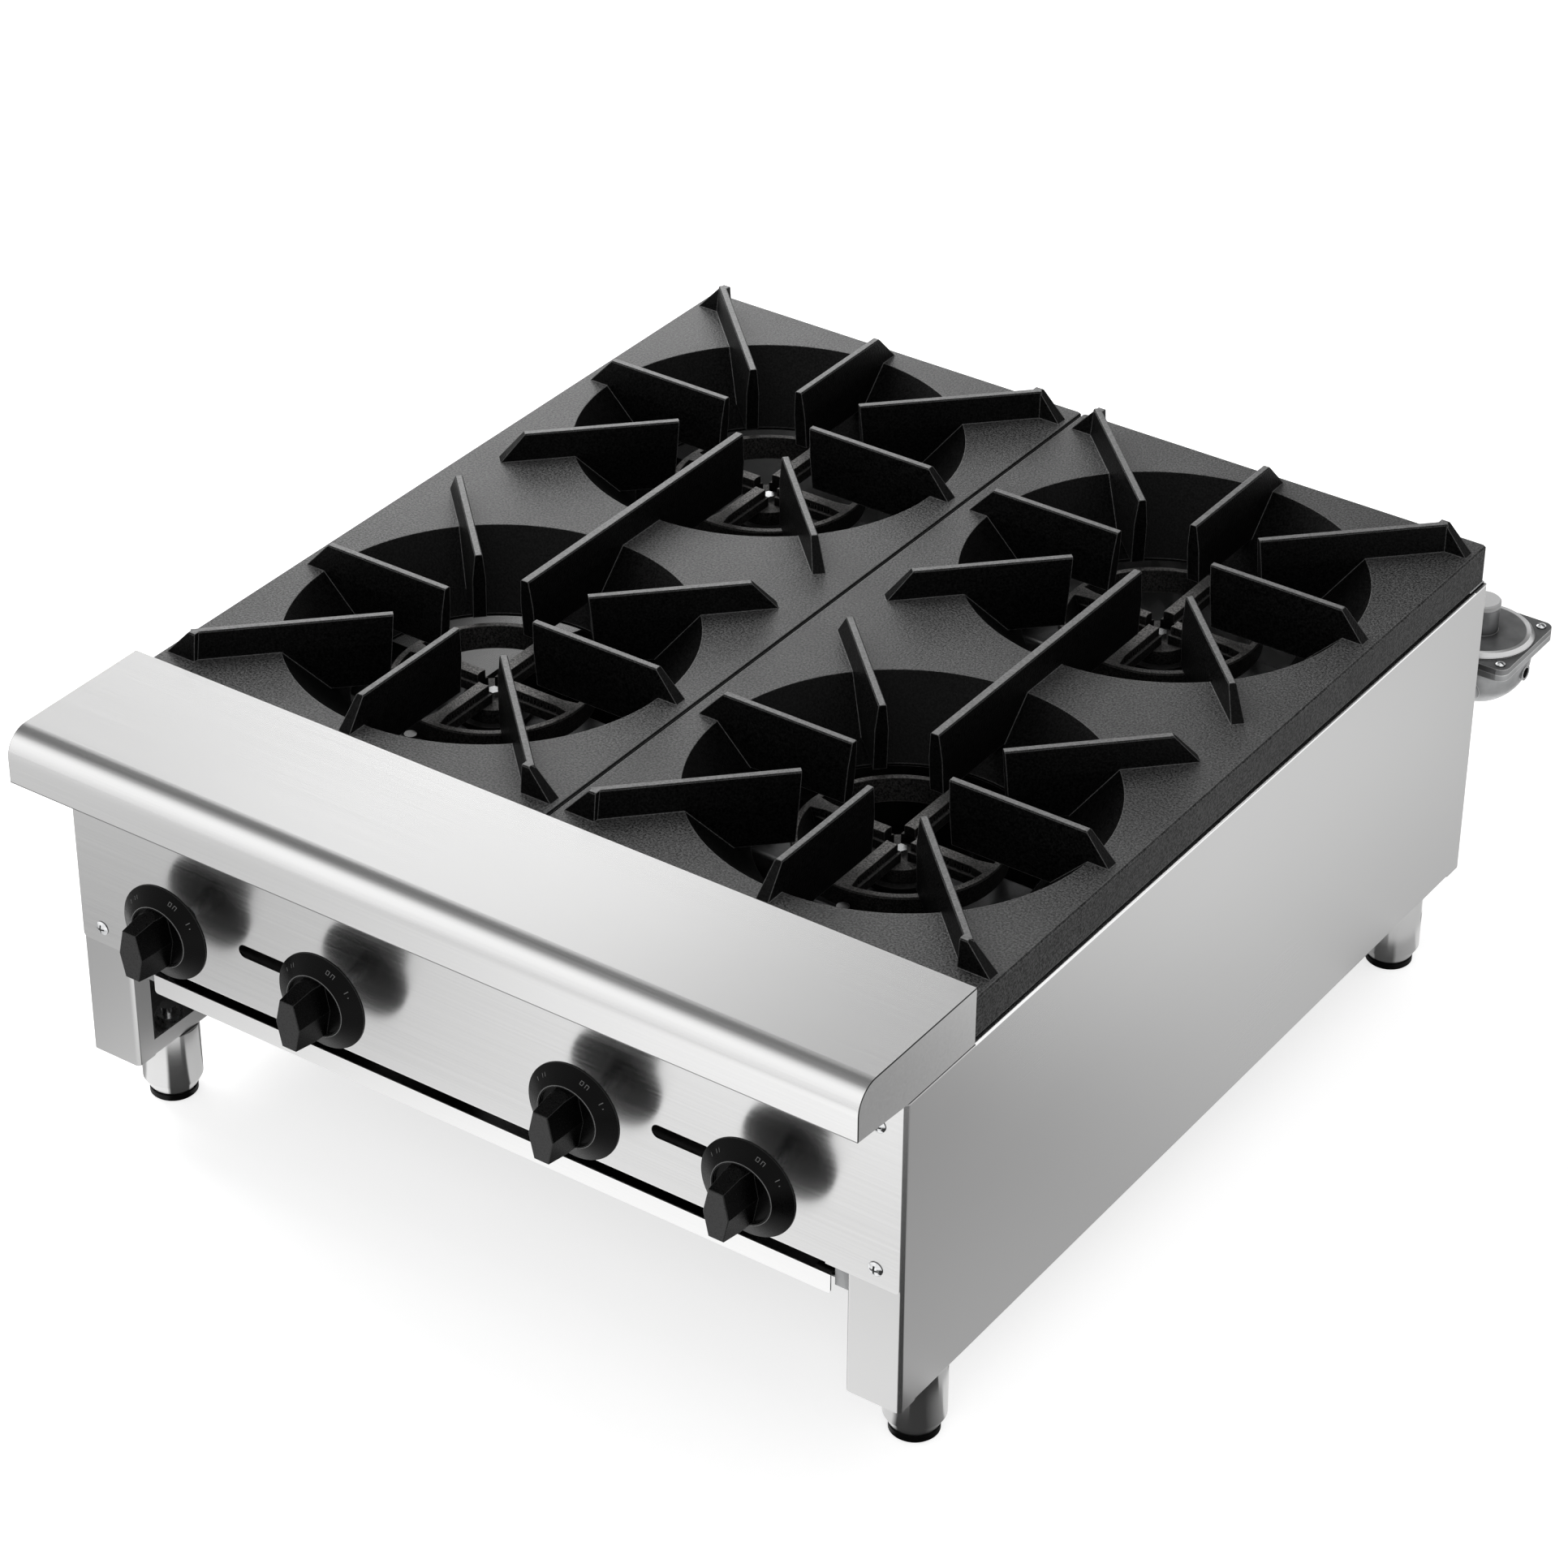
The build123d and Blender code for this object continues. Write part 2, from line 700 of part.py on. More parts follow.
for name, (x, y) in zip(burner_names, burner_spots):
    left_knob, right_knob = knob_xs[:2] if x < 0 else knob_xs[2:]
    inner_x, outer_x = (right_knob, left_knob) if x < 0 else (left_knob, right_knob)
    if y == burner_ys[0]:
        save(f"mixing_tube_{name}", mixer(inner_x, x, y, mixer_front_y + mixer_lead))
    else:
        save(f"mixing_tube_{name}", mixer(outer_x, x, y, burner_ys[0] + rear_mixer_turn))

# bolts down through each hub
bolts = []
for x, y in burner_spots:
    cap = along_z(Pos(x, y) * RegularPolygon(bolt_head_r, 6), hub_top, hub_top + bolt_head_h)
    bolts.append(rod(x, y, hub_top - bolt_length, hub_top, bolt_r) + cap)
save("burner_bolts", joined(bolts))

# cross bars that carry the burners, open where each riser goes through
for name, y in zip(("front", "rear"), burner_ys):
    z0, z1 = bar_top - bar_height, bar_top
    section = strip([(y + bar_half_y + bar_lip, z0), (y + bar_half_y, z0), (y + bar_half_y, z1),
                     (y - bar_half_y, z1), (y - bar_half_y, z0),
                     (y - bar_half_y - bar_lip, z0)], bar_sheet, bend)
    bar = along_x(section, -rail_half, rail_half)
    for s in (-1, 1):
        bar = bar - rod(s * burner_x, y, z0 - over, z1 + over, mixer_r + bar_clear)
    save(f"burner_bar_{name}", bar)

# air shutters: cups with four windows over the mouths
shutters = []
cup_r = bell_r + shutter_fit
for vx in knob_xs:
    cup = turned([(cup_r, 0), (cup_r, shutter_depth), (cup_r + shutter_wall, shutter_depth),
                  (cup_r + shutter_wall, -shutter_wall), (hood_nut_r + shutter_fit, -shutter_wall),
                  (hood_nut_r + shutter_fit, 0)])
    for i in range(4):
        middle = (hood_nut_r + cup_r) / 2
        cup = cup - Rot(0, 0, 45 + 90 * i) * Pos(middle, 0, 0) * Box(
            shutter_window, 2 * shutter_window, 4 * shutter_wall)
    shutters.append(facing_back(vx, mixer_front_y, knob_z, cup))
save("air_shutters", joined(shutters))

# gas valves with stems that carry the knobs, and hooded orifices at the back
valve_length = valve_ahead + valve_behind
for i, vx in enumerate(knob_xs, start=1):
    seat = gas_z + pipe_r + hole_fit
    body = facing_back(vx, valve_front_y, knob_z, turned(
        [(0, 0), (valve_nose_r, 0), (valve_nose_r, valve_nose), (valve_r, valve_nose),
         (valve_r, valve_length - valve_tail), (hood_r, valve_length - valve_tail),
         (hood_r, valve_length), (0, valve_length)]))
    nut = along_z(Pos(vx, manifold_y) * RegularPolygon(valve_nut_r, 6), seat, seat + valve_nut_h)
    valve = body + rod(vx, manifold_y, seat, knob_z, valve_shank_r) + nut
    valve = valve - rod_y(vx, knob_z, valve_front_y - over, valve_front_y + stem_in_valve + over,
                          stem_r + stem_fit)
    save(f"valve_{i}", valve)
    y_end = knob_base_y - stem_reach
    stem = rod_y(vx, knob_z, y_end, valve_front_y + stem_in_valve, stem_r)
    flat = block(vx - stem_r, vx + stem_r, y_end - over, knob_base_y + knob_hub_back + over,
                 knob_z + stem_r - stem_flat, knob_z + 2 * stem_r)
    save(f"valve_stem_{i}", stem - flat)

hoods = []
for vx in knob_xs:
    nut_end = valve_back_y + hood_nut
    nose = hood_length - hood_nut
    hexagon = along_y(Pos(vx, knob_z) * RegularPolygon(hood_nut_r, 6), valve_back_y, nut_end)
    cone = turned([(0, 0), (hood_r, 0), (hood_r - hood_taper, nose), (0, nose)])
    hoods.append(hexagon + facing_back(vx, nut_end, knob_z, cone))
save("orifice_hoods", joined(hoods))


# knobs: a conical skirt, a sunken face and a lofted six-sided grip
def knob(x):
    face = skirt_depth - dish_depth
    skirt = turned([(skirt_r, 0), (skirt_r, skirt_rim), (ring_r, skirt_depth),
                    (ring_r - ring_width, skirt_depth), (ring_r - ring_width, face), (0, face),
                    (0, face - knob_wall), (ring_r - ring_width - knob_wall, face - knob_wall),
                    (skirt_r - knob_wall, 0)])
    hub = Pos(0, 0, (face - knob_hub_back) / 2) * Cylinder(knob_hub_r, face + knob_hub_back)

    def hexagon(w, mid, h, z):
        pts = [(-w / 2, h / 2), (w / 2, h / 2), (mid / 2, 0), (w / 2, -h / 2), (-w / 2, -h / 2),
               (-mid / 2, 0)]
        return Plane.XY.offset(z) * make_face(Polyline(*pts, close=True))

    low = hexagon(grip_base_w, grip_base_mid, grip_base_h, face - knob_wall / 2)
    grip = loft([low, hexagon(grip_face_w, grip_mid_w, grip_face_h, knob_depth)])
    grip = chamfer(grip.faces().sort_by(Axis.Z)[-1].edges(), grip_edge)
    grip = grip & Cylinder(ring_r - ring_width, 4 * knob_depth)
    bore = Cylinder(stem_r + stem_fit, 2 * (stem_reach + stem_fit))
    flat_y = stem_r - stem_flat + stem_fit
    bore = bore - block(-2 * stem_r, 2 * stem_r, flat_y, 2 * stem_r, -knob_depth, knob_depth)
    solid = skirt + hub + grip - bore
    return Pos(x, knob_base_y, knob_z) * Rot(90, 0, 0) * solid


for i, vx in enumerate(knob_xs, start=1):
    save(f"knob_{i}", knob(vx))

# gas manifold, supply pipe and the elbow between them
manifold_start = knob_xs[0] - manifold_over
manifold_end = supply_x - elbow_arm + coupling_length / 2
manifold = rod_x(manifold_y, gas_z, manifold_start, manifold_end, pipe_r)
manifold = manifold - rod_x(manifold_y, gas_z, manifold_start + manifold_plug,
                            manifold_end + over, pipe_bore)
save("gas_manifold", manifold)

elbow_run = [(supply_x - elbow_arm, manifold_y, gas_z), (supply_x, manifold_y, gas_z),
             (supply_x, manifold_y + elbow_arm, gas_z)]
elbow = piped(elbow_run, elbow_arm - coupling_length / 2, elbow_r)
elbow = elbow - rod_x(manifold_y, gas_z, supply_x - elbow_arm - over, manifold_end,
                      pipe_r + thread_fit)
pipe_start = manifold_y + elbow_arm - coupling_length / 2
elbow = elbow - rod_y(supply_x, gas_z, pipe_start, manifold_y + elbow_arm + over,
                      pipe_r + thread_fit)
save("supply_elbow", elbow)
supply = rod_y(supply_x, gas_z, pipe_start, nipple_end_y, pipe_r)
save("supply_pipe", supply - rod_y(supply_x, gas_z, pipe_start - over, nipple_end_y + over,
                                   pipe_bore))

# hangers from the front rail round the manifold
hangers = []
for x in (-clamp_x, clamp_x):
    x0, x1 = x - clamp_width / 2, x + clamp_width / 2
    plate = block(x0, x1, rail_front_y - clamp_sheet, rail_front_y, gas_z,
                  rail_bottom + clamp_rise)
    plate = plate + rod_x(manifold_y, gas_z, x0, x1, pipe_r + clamp_sheet)
    hangers.append(plate - rod_x(manifold_y, gas_z, x0 - over, x1 + over, pipe_r + thread_fit))
save("manifold_hangers", joined(hangers))

# pilot valves on the manifold, their tubes and tips
pilots = []
tubes = []
tips = []
pilot_reach = head_r + pilot_clear
for s in (-1, 1):
    for x, front in ((s * (pair_centre_x + pilot_spacing / 2), True),
                     (s * (pair_centre_x - pilot_spacing / 2), False)):
        post = along_z(Pos(x, manifold_y) * RegularPolygon(pilot_nut_r, 6),
                       gas_z + pipe_r + hole_fit, slot_z + pilot_body_h / 2)
        head_y = manifold_y - pilot_barrel
        tail_y = manifold_y + pilot_tail
        barrel = rod_y(x, slot_z, head_y, tail_y, pilot_barrel_r)
        screw_y = head_y - pilot_screw
        pilots.append(post + barrel + rod_y(x, slot_z, screw_y, head_y, pilot_screw_r))
        if front:
            tip_x, tip_y = x, burner_ys[0] - pilot_reach
        else:
            a = math.radians(rear_pilot_angle)
            tip_x = s * (burner_x - pilot_reach * math.cos(a))
            tip_y = burner_ys[1] - pilot_reach * math.sin(a)
        drop = slot_z - pilot_run_z
        run = [(x, tail_y, slot_z), (x, tail_y + drop, slot_z), (x, tail_y + 2 * drop, pilot_run_z),
               (tip_x, tip_y, pilot_run_z), (tip_x, tip_y, pilot_tip_low)]
        tubes.append(piped(run, 4 * pilot_tube_r, pilot_tube_r, 6))
        tips.append(rod(tip_x, tip_y, pilot_tip_low, pilot_tip_low + pilot_tip_h, pilot_tip_r))
save("pilot_valves", joined(pilots))
save("pilot_tubes", joined(tubes))
save("pilot_tips", joined(tips))

# drip tray: a shallow pan with side rims that ride on the runners
rim_z = tray_high - tray_sheet
rim = [(-tray_half, rim_z), (-tray_pan_half, rim_z), (-tray_pan_half, tray_low),
       (tray_pan_half, tray_low), (tray_pan_half, rim_z), (tray_half, rim_z)]
tray_inner_y = tray_face_y + tray_sheet
pan = along_y(strip(rim, tray_sheet, tray_bend), tray_inner_y, tray_back_y)
for y0 in (tray_inner_y, tray_back_y - tray_sheet):
    pan = pan + block(-tray_pan_half, tray_pan_half, y0, y0 + tray_sheet, tray_low, rim_z)
lip = Pos(0, (tray_low + tray_high) / 2) * Rectangle(2 * tray_half, tray_height)
lip = fillet(lip.vertices().sort_by(Axis.Y)[0:2], tray_face_corner)
pan = pan + along_y(lip, tray_face_y, tray_inner_y)
save("drip_tray", pan)

# tray runners: a shelf under each rim, a wall beside it and tabs at both ends
shelf_z = rim_z - slide_gap
runner_end = wall_back_y - 2 * sheet
runner_section = strip([(shelf_inner, shelf_z - sheet), (runner_wall_x + sheet, shelf_z - sheet),
                        (runner_wall_x + sheet, runner_top)], sheet, runner_bend)
runner = along_y(runner_section, tab_y, runner_end)
runner = runner + block(runner_wall_x, front_flange_inner, tab_y, tab_y + sheet, tab_low,
                        panel_bottom + tab_lap)
runner = runner + block(runner_wall_x, front_flange_inner, runner_end - sheet, runner_end,
                        tab_low, runner_top)
save("tray_runner_right", runner)
save("tray_runner_left", mirror(runner, about=Plane.YZ))

# legs with studs through the bottom flanges, their nuts and adjustable feet
leg = turned([(0, foot_bore_top), (foot_stud_r + foot_fit, foot_bore_top),
              (foot_stud_r + foot_fit, leg_low_z), (leg_low_r, leg_low_z), (leg_r, leg_taper_z),
              (leg_r, body_bottom), (leg_stud_r, body_bottom), (leg_stud_r, leg_stud_top),
              (0, leg_stud_top)])
foot = turned([(0, 0), (foot_r - foot_bevel, 0), (foot_r, foot_bevel), (foot_r, foot_h),
               (foot_stud_r, foot_h), (foot_stud_r, foot_stud_top), (0, foot_stud_top)])
leg_spots = [(sx * leg_x, y) for y in leg_ys for sx in (-1, 1)]
for name, (x, y) in zip(burner_names, leg_spots):
    save(f"leg_{name}", Pos(x, y, 0) * leg)
    save(f"foot_{name}", Pos(x, y, 0) * foot)
nuts = []
for x, y in leg_spots:
    low = body_bottom + sheet
    nut = along_z(Pos(x, y) * RegularPolygon(nut_af / 2, 6, major_radius=False), low, low + nut_h)
    nuts.append(nut - rod(x, y, low - over, low + nut_h + over, leg_stud_r + thread_fit))
save("leg_nuts", joined(nuts))

# regulator: a round bowl with a square flange and a side vent, a cover with a low
# dome and a spring tower, a cap and four screws
flange = Pos(supply_x, reg_y) * RectangleRounded(2 * reg_flange, 2 * reg_flange, reg_corner)
bowl_centre_z = reg_flange_low - reg_bowl_wall
bowl = Pos(supply_x, reg_y, bowl_centre_z) * Sphere(reg_bowl_r)
bowl = bowl - rod(supply_x, reg_y, bowl_centre_z, bowl_centre_z + 2 * reg_bowl_r, 2 * reg_bowl_r)
bowl = bowl + rod(supply_x, reg_y, bowl_centre_z, reg_flange_low, reg_bowl_r)
vent_z = reg_flange_low - vent_drop
vent_end = supply_x + reg_bowl_r + seat_gap
regulator = bowl + along_z(flange, reg_flange_low, reg_seam_z)
regulator = regulator + rod_y(supply_x, gas_z, reg_y - reg_flange, reg_y + reg_flange, reg_port_r)
regulator = regulator + rod_x(reg_y, vent_z, supply_x, vent_end, vent_r)
regulator = regulator - rod_x(reg_y, vent_z, vent_end - vent_depth, vent_end + over, vent_bore)
regulator = regulator - rod_y(supply_x, gas_z, reg_y - reg_flange - over, nipple_end_y,
                              pipe_r + thread_fit)
regulator = regulator - rod_y(supply_x, gas_z, reg_y + reg_flange - reg_port_depth,
                              reg_y + reg_flange + over, pipe_r)
tower_z = reg_flange_top + reg_tower_h
cover = along_z(flange, reg_seam_z, reg_flange_top)
cover = cover + Pos(supply_x, reg_y, reg_flange_top) * turned(
    [(0, -over), (reg_dome_r, -over), (reg_dome_r, over),
     (reg_dome_r - reg_dome_slope, reg_dome_h), (reg_tower_r, reg_dome_h),
     (reg_tower_r, reg_tower_h), (0, reg_tower_h)])
screws = []
for sx in (-1, 1):
    for sy in (-1, 1):
        x, y = supply_x + sx * reg_screw, reg_y + sy * reg_screw
        through = rod(x, y, reg_flange_low - over, reg_flange_top + over, reg_screw_r)
        regulator = regulator - through
        cover = cover - through
        screws.append(rod(x, y, reg_flange_low - reg_screw_r, reg_flange_top, reg_screw_r)
                      + rod(x, y, reg_flange_top, reg_flange_top + reg_screw_head_h,
                            reg_screw_head))
save("regulator_body", regulator)
save("regulator_cover", cover)
save("regulator_screws", joined(screws))
cap = turned([(0, 0), (reg_cap_r, 0), (reg_cap_r, reg_cap_h - reg_cap_edge),
              (reg_cap_r - reg_cap_edge, reg_cap_h), (0, reg_cap_h)])
save("regulator_cap", Pos(supply_x, reg_y, tower_z) * cap)
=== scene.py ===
import bpy
import bmesh
import math
import numpy as np
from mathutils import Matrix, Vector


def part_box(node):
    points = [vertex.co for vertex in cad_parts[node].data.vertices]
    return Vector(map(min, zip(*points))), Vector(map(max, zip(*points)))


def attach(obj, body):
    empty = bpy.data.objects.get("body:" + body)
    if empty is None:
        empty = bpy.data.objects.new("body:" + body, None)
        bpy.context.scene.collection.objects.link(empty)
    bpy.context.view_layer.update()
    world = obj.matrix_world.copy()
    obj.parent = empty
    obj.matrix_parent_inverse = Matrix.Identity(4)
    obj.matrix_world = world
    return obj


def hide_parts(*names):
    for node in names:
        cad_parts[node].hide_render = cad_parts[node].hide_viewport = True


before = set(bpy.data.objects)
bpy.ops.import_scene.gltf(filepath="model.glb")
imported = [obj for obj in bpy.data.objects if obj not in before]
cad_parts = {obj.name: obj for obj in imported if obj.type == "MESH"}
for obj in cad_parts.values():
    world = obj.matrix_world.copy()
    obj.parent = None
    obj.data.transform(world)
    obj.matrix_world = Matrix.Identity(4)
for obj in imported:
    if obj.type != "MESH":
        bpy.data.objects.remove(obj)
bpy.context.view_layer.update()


# Side panels: 1.2 mm stainless sheet, bent in at every edge and brushed from front to back. The
# polish runs one way, so what it mirrors is drawn out up and down, and the fold along the top is
# painted bright, as a highlight.
def node_adder(tree, shader):
    """A function that adds a node to the tree and returns its first output.

    It takes the node's kind, its sockets by name or number, where a value that is another
    node's output is wired and any other is set, and its settings by name. An empty kind sets
    the tree's own shader and adds nothing.
    """
    def add(kind, sockets=None, **settings):
        made = tree.nodes.new("ShaderNode" + kind) if kind else shader
        for key, value in settings.items():
            setattr(made, key, value)
        for key, value in (sockets or {}).items():
            if isinstance(value, bpy.types.NodeSocket):
                tree.links.new(value, made.inputs[key])
            else:
                made.inputs[key].default_value = value
        return made.outputs[0]

    return add


def new_finish(name):
    """An empty finish and the function that adds to it."""
    material = bpy.data.materials.new(name)
    material.use_nodes = True
    tree = material.node_tree
    return material, node_adder(tree, tree.nodes["Principled BSDF"])


def grey(value, warm=0.0):
    """A neutral colour, a little warmer or cooler."""
    return (value * (1 + warm), value, value * (1 - warm), 1)


def reckoned(add, operation, *values):
    """A sum worked out at each point."""
    return add("Math", dict(enumerate(values)), operation=operation)


def place_of(add, kind="Object"):
    """A point's three coordinates, on the object itself if no other kind is named."""
    return add("SeparateXYZ", {0: add("TexCoord").node.outputs[kind]}).node.outputs


def stretched(add, scale, detail=3.0, rough=0.55):
    """Noise on the object's own coordinates, drawn out along the axis with the small scale."""
    place = add("TexCoord").node.outputs["Object"]
    drawn = add("Mapping", {"Vector": place, "Scale": scale})
    return add("TexNoise", {"Vector": drawn, "Scale": 1.0, "Detail": detail, "Roughness": rough})


def between(add, value, low, high, to_low, to_high):
    """The value carried from one range to another and held at its ends."""
    return add("MapRange", {"Value": value, "From Min": low, "From Max": high,
                            "To Min": to_low, "To Max": to_high})


def spread(add, noise, to_low, to_high):
    """A noise, nearly all of which lies from 0.3 to 0.7, carried to a range of its own."""
    return between(add, noise, 0.3, 0.7, to_low, to_high)


def mixed(add, share, first, second):
    """The first colour, going to the second as the share rises from 0 to 1."""
    return add("Mix", {"Factor": share, 6: first, 7: second}, data_type="RGBA").node.outputs[2]


def brushed_steel(name, grain, across, shade, smooth=0.22, streak=0.012, dark_lines_and_shade=None, fold_z=None):
    """Stainless steel: lines a few tenths of a millimetre apart along the grain, with faint
    clouds of handling over them. The mirror's blur is widest across the lines. Where
    dark_lines_and_shade is given, it returns the share of dark joint lines and painted shade.
    The fold above fold_z, where given, is painted bright, as a highlight."""
    material, add = new_finish(name)
    lines = stretched(add, grain, 3.0, 0.6)
    cloud = stretched(add, (6.0, 6.0, 6.0), 2.0)
    colour = mixed(add, spread(add, lines, 0.0, 1.0), grey(shade * (1 - streak), 0.002),
                   grey(shade * (1 + streak), 0.002))
    if fold_z:
        # painted highlight: the fold along the top is painted near white
        fold = between(add, place_of(add)[2], fold_z - 0.0003, fold_z, 0.0, 1.0)
        colour = mixed(add, fold, colour, grey(1.0))
    if dark_lines_and_shade:
        # dark joint lines and painted shade, as the given function returns them
        colour = mixed(add, dark_lines_and_shade(add), colour, grey(0.03))
    rough = reckoned(add, "ADD", spread(add, cloud, -0.015, 0.02),
                     spread(add, lines, smooth - streak, smooth + streak))
    relief = add("Bump", {"Height": lines, "Strength": streak, "Distance": 0.0001})
    turn = add("CombineXYZ", dict(enumerate(across)))
    add("", {"Base Color": colour, "Metallic": 1.0, "Roughness": rough, "Normal": relief,
             "Tangent": turn, "Anisotropic": 0.7})
    return material


def clothe(finish, *names):
    """Puts a finish in every slot of the named nodes."""
    for name in names:
        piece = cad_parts[name]
        if not piece.material_slots:
            piece.data.materials.append(finish)
        for slot in piece.material_slots:
            slot.material = finish


side_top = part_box("side_panel_right")[1][2]
fold_height = 0.001
side_steel = brushed_steel("stainless_side", grain=(900.0, 5.0, 1300.0), across=(0, 0, 1),
                           shade=0.64, smooth=0.25, streak=0.007, fold_z=side_top - fold_height)
clothe(side_steel, "side_panel_left", "side_panel_right")


# Rear panel, cross rails, burner bars, tray runners and hangers: galvanised sheet, bent and left
# plain. The zinc sets in flat crystals about 12 mm wide, each of a slightly different grey, and
# the sheet is painted dark, as shade, where the body shuts it in.
def unshaded_share(add, reach, power):
    """How open a point is, which sets how much shade is painted in: 1 in the open, falling to 0
    deep in a corner or a box, as the share of the space within reach that nothing fills, raised to
    a power."""
    open_share = add("AmbientOcclusion", {"Distance": reach}, samples=6).node.outputs["AO"]
    return reckoned(add, "POWER", open_share, power)


def galvanised_sheet(name, shade, reach):
    """Zinc crystals, as the cells of places nearest to each of many scattered points, with one
    grey to a cell under a fine haze, and shade painted dark where the body shuts the sheet in."""
    material, add = new_finish(name)
    place = add("TexCoord").node.outputs["Object"]
    crystals = add("TexVoronoi", {"Vector": place, "Scale": 85.0, "Randomness": 1.0})
    tone = add("SeparateColor", {"Color": crystals.node.outputs["Color"]})
    haze = stretched(add, (30.0, 30.0, 30.0), 4.0)
    share = between(add, reckoned(add, "MULTIPLY", tone, haze), 0.1, 0.5, 0.0, 1.0)
    zinc = mixed(add, share, grey(shade * 0.86, -0.01), grey(shade * 1.08, -0.01))
    # painted shade: the zinc goes nearly black where the body shuts it in
    colour = mixed(add, unshaded_share(add, reach, 1.6), grey(shade * 0.04), zinc)
    rough = between(add, tone, 0.0, 1.0, 0.36, 0.52)
    relief = add("Bump", {"Height": haze, "Strength": 0.1, "Distance": 0.0002})
    add("", {"Base Color": colour, "Metallic": 1.0, "Roughness": rough, "Normal": relief})
    return material


zinc_sheet = galvanised_sheet("galvanised_sheet", shade=0.5, reach=0.09)
clothe(zinc_sheet, "rear_panel", "front_rail", "burner_bar_front", "burner_bar_rear",
       "tray_runner_left", "tray_runner_right", "manifold_hangers")

# Control panel: stainless sheet laid over the side panels' front flanges, brushed from side to
# side, with two slots that a screwdriver reaches the pilot valves through.
front_steel = brushed_steel("stainless_front", grain=(5.0, 700.0, 800.0), across=(0, 0, 1),
                            shade=0.73, streak=0.022)
clothe(front_steel, "control_panel")


# Panel screws: zinc-plated pan heads with a crossed recess, painted dark inside as shade. Four hold
# the control panel to the side panels' flanges, and these take the place of the plain heads.
def plated_steel(name, shade, smooth, warm=0.0, recess=None):
    """Zinc plate: a fine grain, and where a recess depth is given, shade painted dark inside it."""
    material, add = new_finish(name)
    grain = stretched(add, (400.0, 400.0, 400.0), 3.0)
    colour = mixed(add, grain, grey(shade * 0.9, warm), grey(shade * 1.05, warm))
    if recess:
        # painted shade inside the recess
        colour = mixed(add, unshaded_share(add, recess, 3.0), grey(0.01), colour)
    rough = spread(add, grain, smooth - 0.04, smooth + 0.06)
    relief = add("Bump", {"Height": grain, "Strength": 0.08, "Distance": 0.0001})
    add("", {"Base Color": colour, "Metallic": 1.0, "Roughness": rough, "Normal": relief})
    return material


def place_in_scene(name, made):
    """An object of the given mesh, at the origin."""
    piece = bpy.data.objects.new(name, made)
    bpy.context.scene.collection.objects.link(piece)
    return piece


def grid_piece(name, grids, finish, thick=None):
    """One piece from grids of points: each cell between two rows and two columns is a face,
    points at one place are made one, and thin sheets are given a thickness."""
    corners, faces, start = [], [], 0
    for grid in grids:
        rows, columns = grid.shape[:2]
        at = start + np.arange(rows * columns).reshape(rows, columns)
        quads = np.stack([at[:-1, :-1], at[1:, :-1], at[1:, 1:], at[:-1, 1:]], axis=-1)
        corners.append(grid.reshape(-1, 3))
        faces.append(quads.reshape(-1, 4))
        start += rows * columns
    made = bpy.data.meshes.new(name)
    made.from_pydata(np.concatenate(corners).tolist(), [], np.concatenate(faces).tolist())
    loose = bmesh.new()
    loose.from_mesh(made)
    bmesh.ops.remove_doubles(loose, verts=loose.verts, dist=1e-7)
    bmesh.ops.dissolve_degenerate(loose, edges=loose.edges, dist=1e-8)
    if not thick:
        bmesh.ops.recalc_face_normals(loose, faces=loose.faces)
    loose.to_mesh(made)
    loose.free()
    made.materials.append(finish)
    made.polygons.foreach_set("use_smooth", [True] * len(made.polygons))
    piece = place_in_scene(name, made)
    if thick:
        wall = piece.modifiers.new("wall", "SOLIDIFY")
        wall.thickness = thick
        wall.offset = 1.0
    return piece


def ramped(value, low, high):
    """Rises smoothly from 0 at low to 1 at high, by 3t^2 - 2t^3."""
    t = np.clip((value - low) / (high - low), 0, 1)
    return t * t * (3 - 2 * t)


def screw(spot, axes, turn, head_r, head_h, rim_h, shank_r, shank_l, arm, half, slotted=False):
    """A screw as rings about its axis. Inside the head's radius R the height at radius r is
    rim + (h - rim)(1 - (r/R)^2), less a recess three quarters of the head deep: a slot is as
    deep all along, and a cross fades out with the square of the distance to the end of its
    arms. The walls of the recess slope between two shares of its half width. Then come rim and
    shank. The rows of axes say where the screw's own x, y and z point."""
    angle = np.linspace(0, 2 * math.pi, 97)
    inner = np.linspace(0, 1, 30)[:, None] * head_r
    u, v = inner * np.cos(angle + turn), inner * np.sin(angle + turn)
    dome = rim_h + (head_h - rim_h) * (1 - (inner / head_r) ** 2) + 0 * u
    if slotted:
        cut = ramped(-np.abs(v), -half * 1.15, -half * 0.85)
    else:
        near, far = np.minimum(np.abs(u), np.abs(v)), np.maximum(np.abs(u), np.abs(v))
        cut = ramped(-near, -half * 1.25, -half * 0.8) * np.clip(1 - (far / arm) ** 2, 0, 1) ** 0.5
    top = np.stack([u, v, dome - cut * head_h * 0.75], axis=-1)
    edge_r = np.array([head_r, head_r, shank_r, shank_r, 0.0])[:, None]
    edge_z = np.array([rim_h * 0.5, 0.0, 0.0, -shank_l, -shank_l])[:, None]
    edge = np.stack([edge_r * np.cos(angle + turn), edge_r * np.sin(angle + turn),
                     edge_z + 0 * angle], axis=-1)
    return np.concatenate([top, edge]) @ np.array(axes, float) + np.array(spot, float)


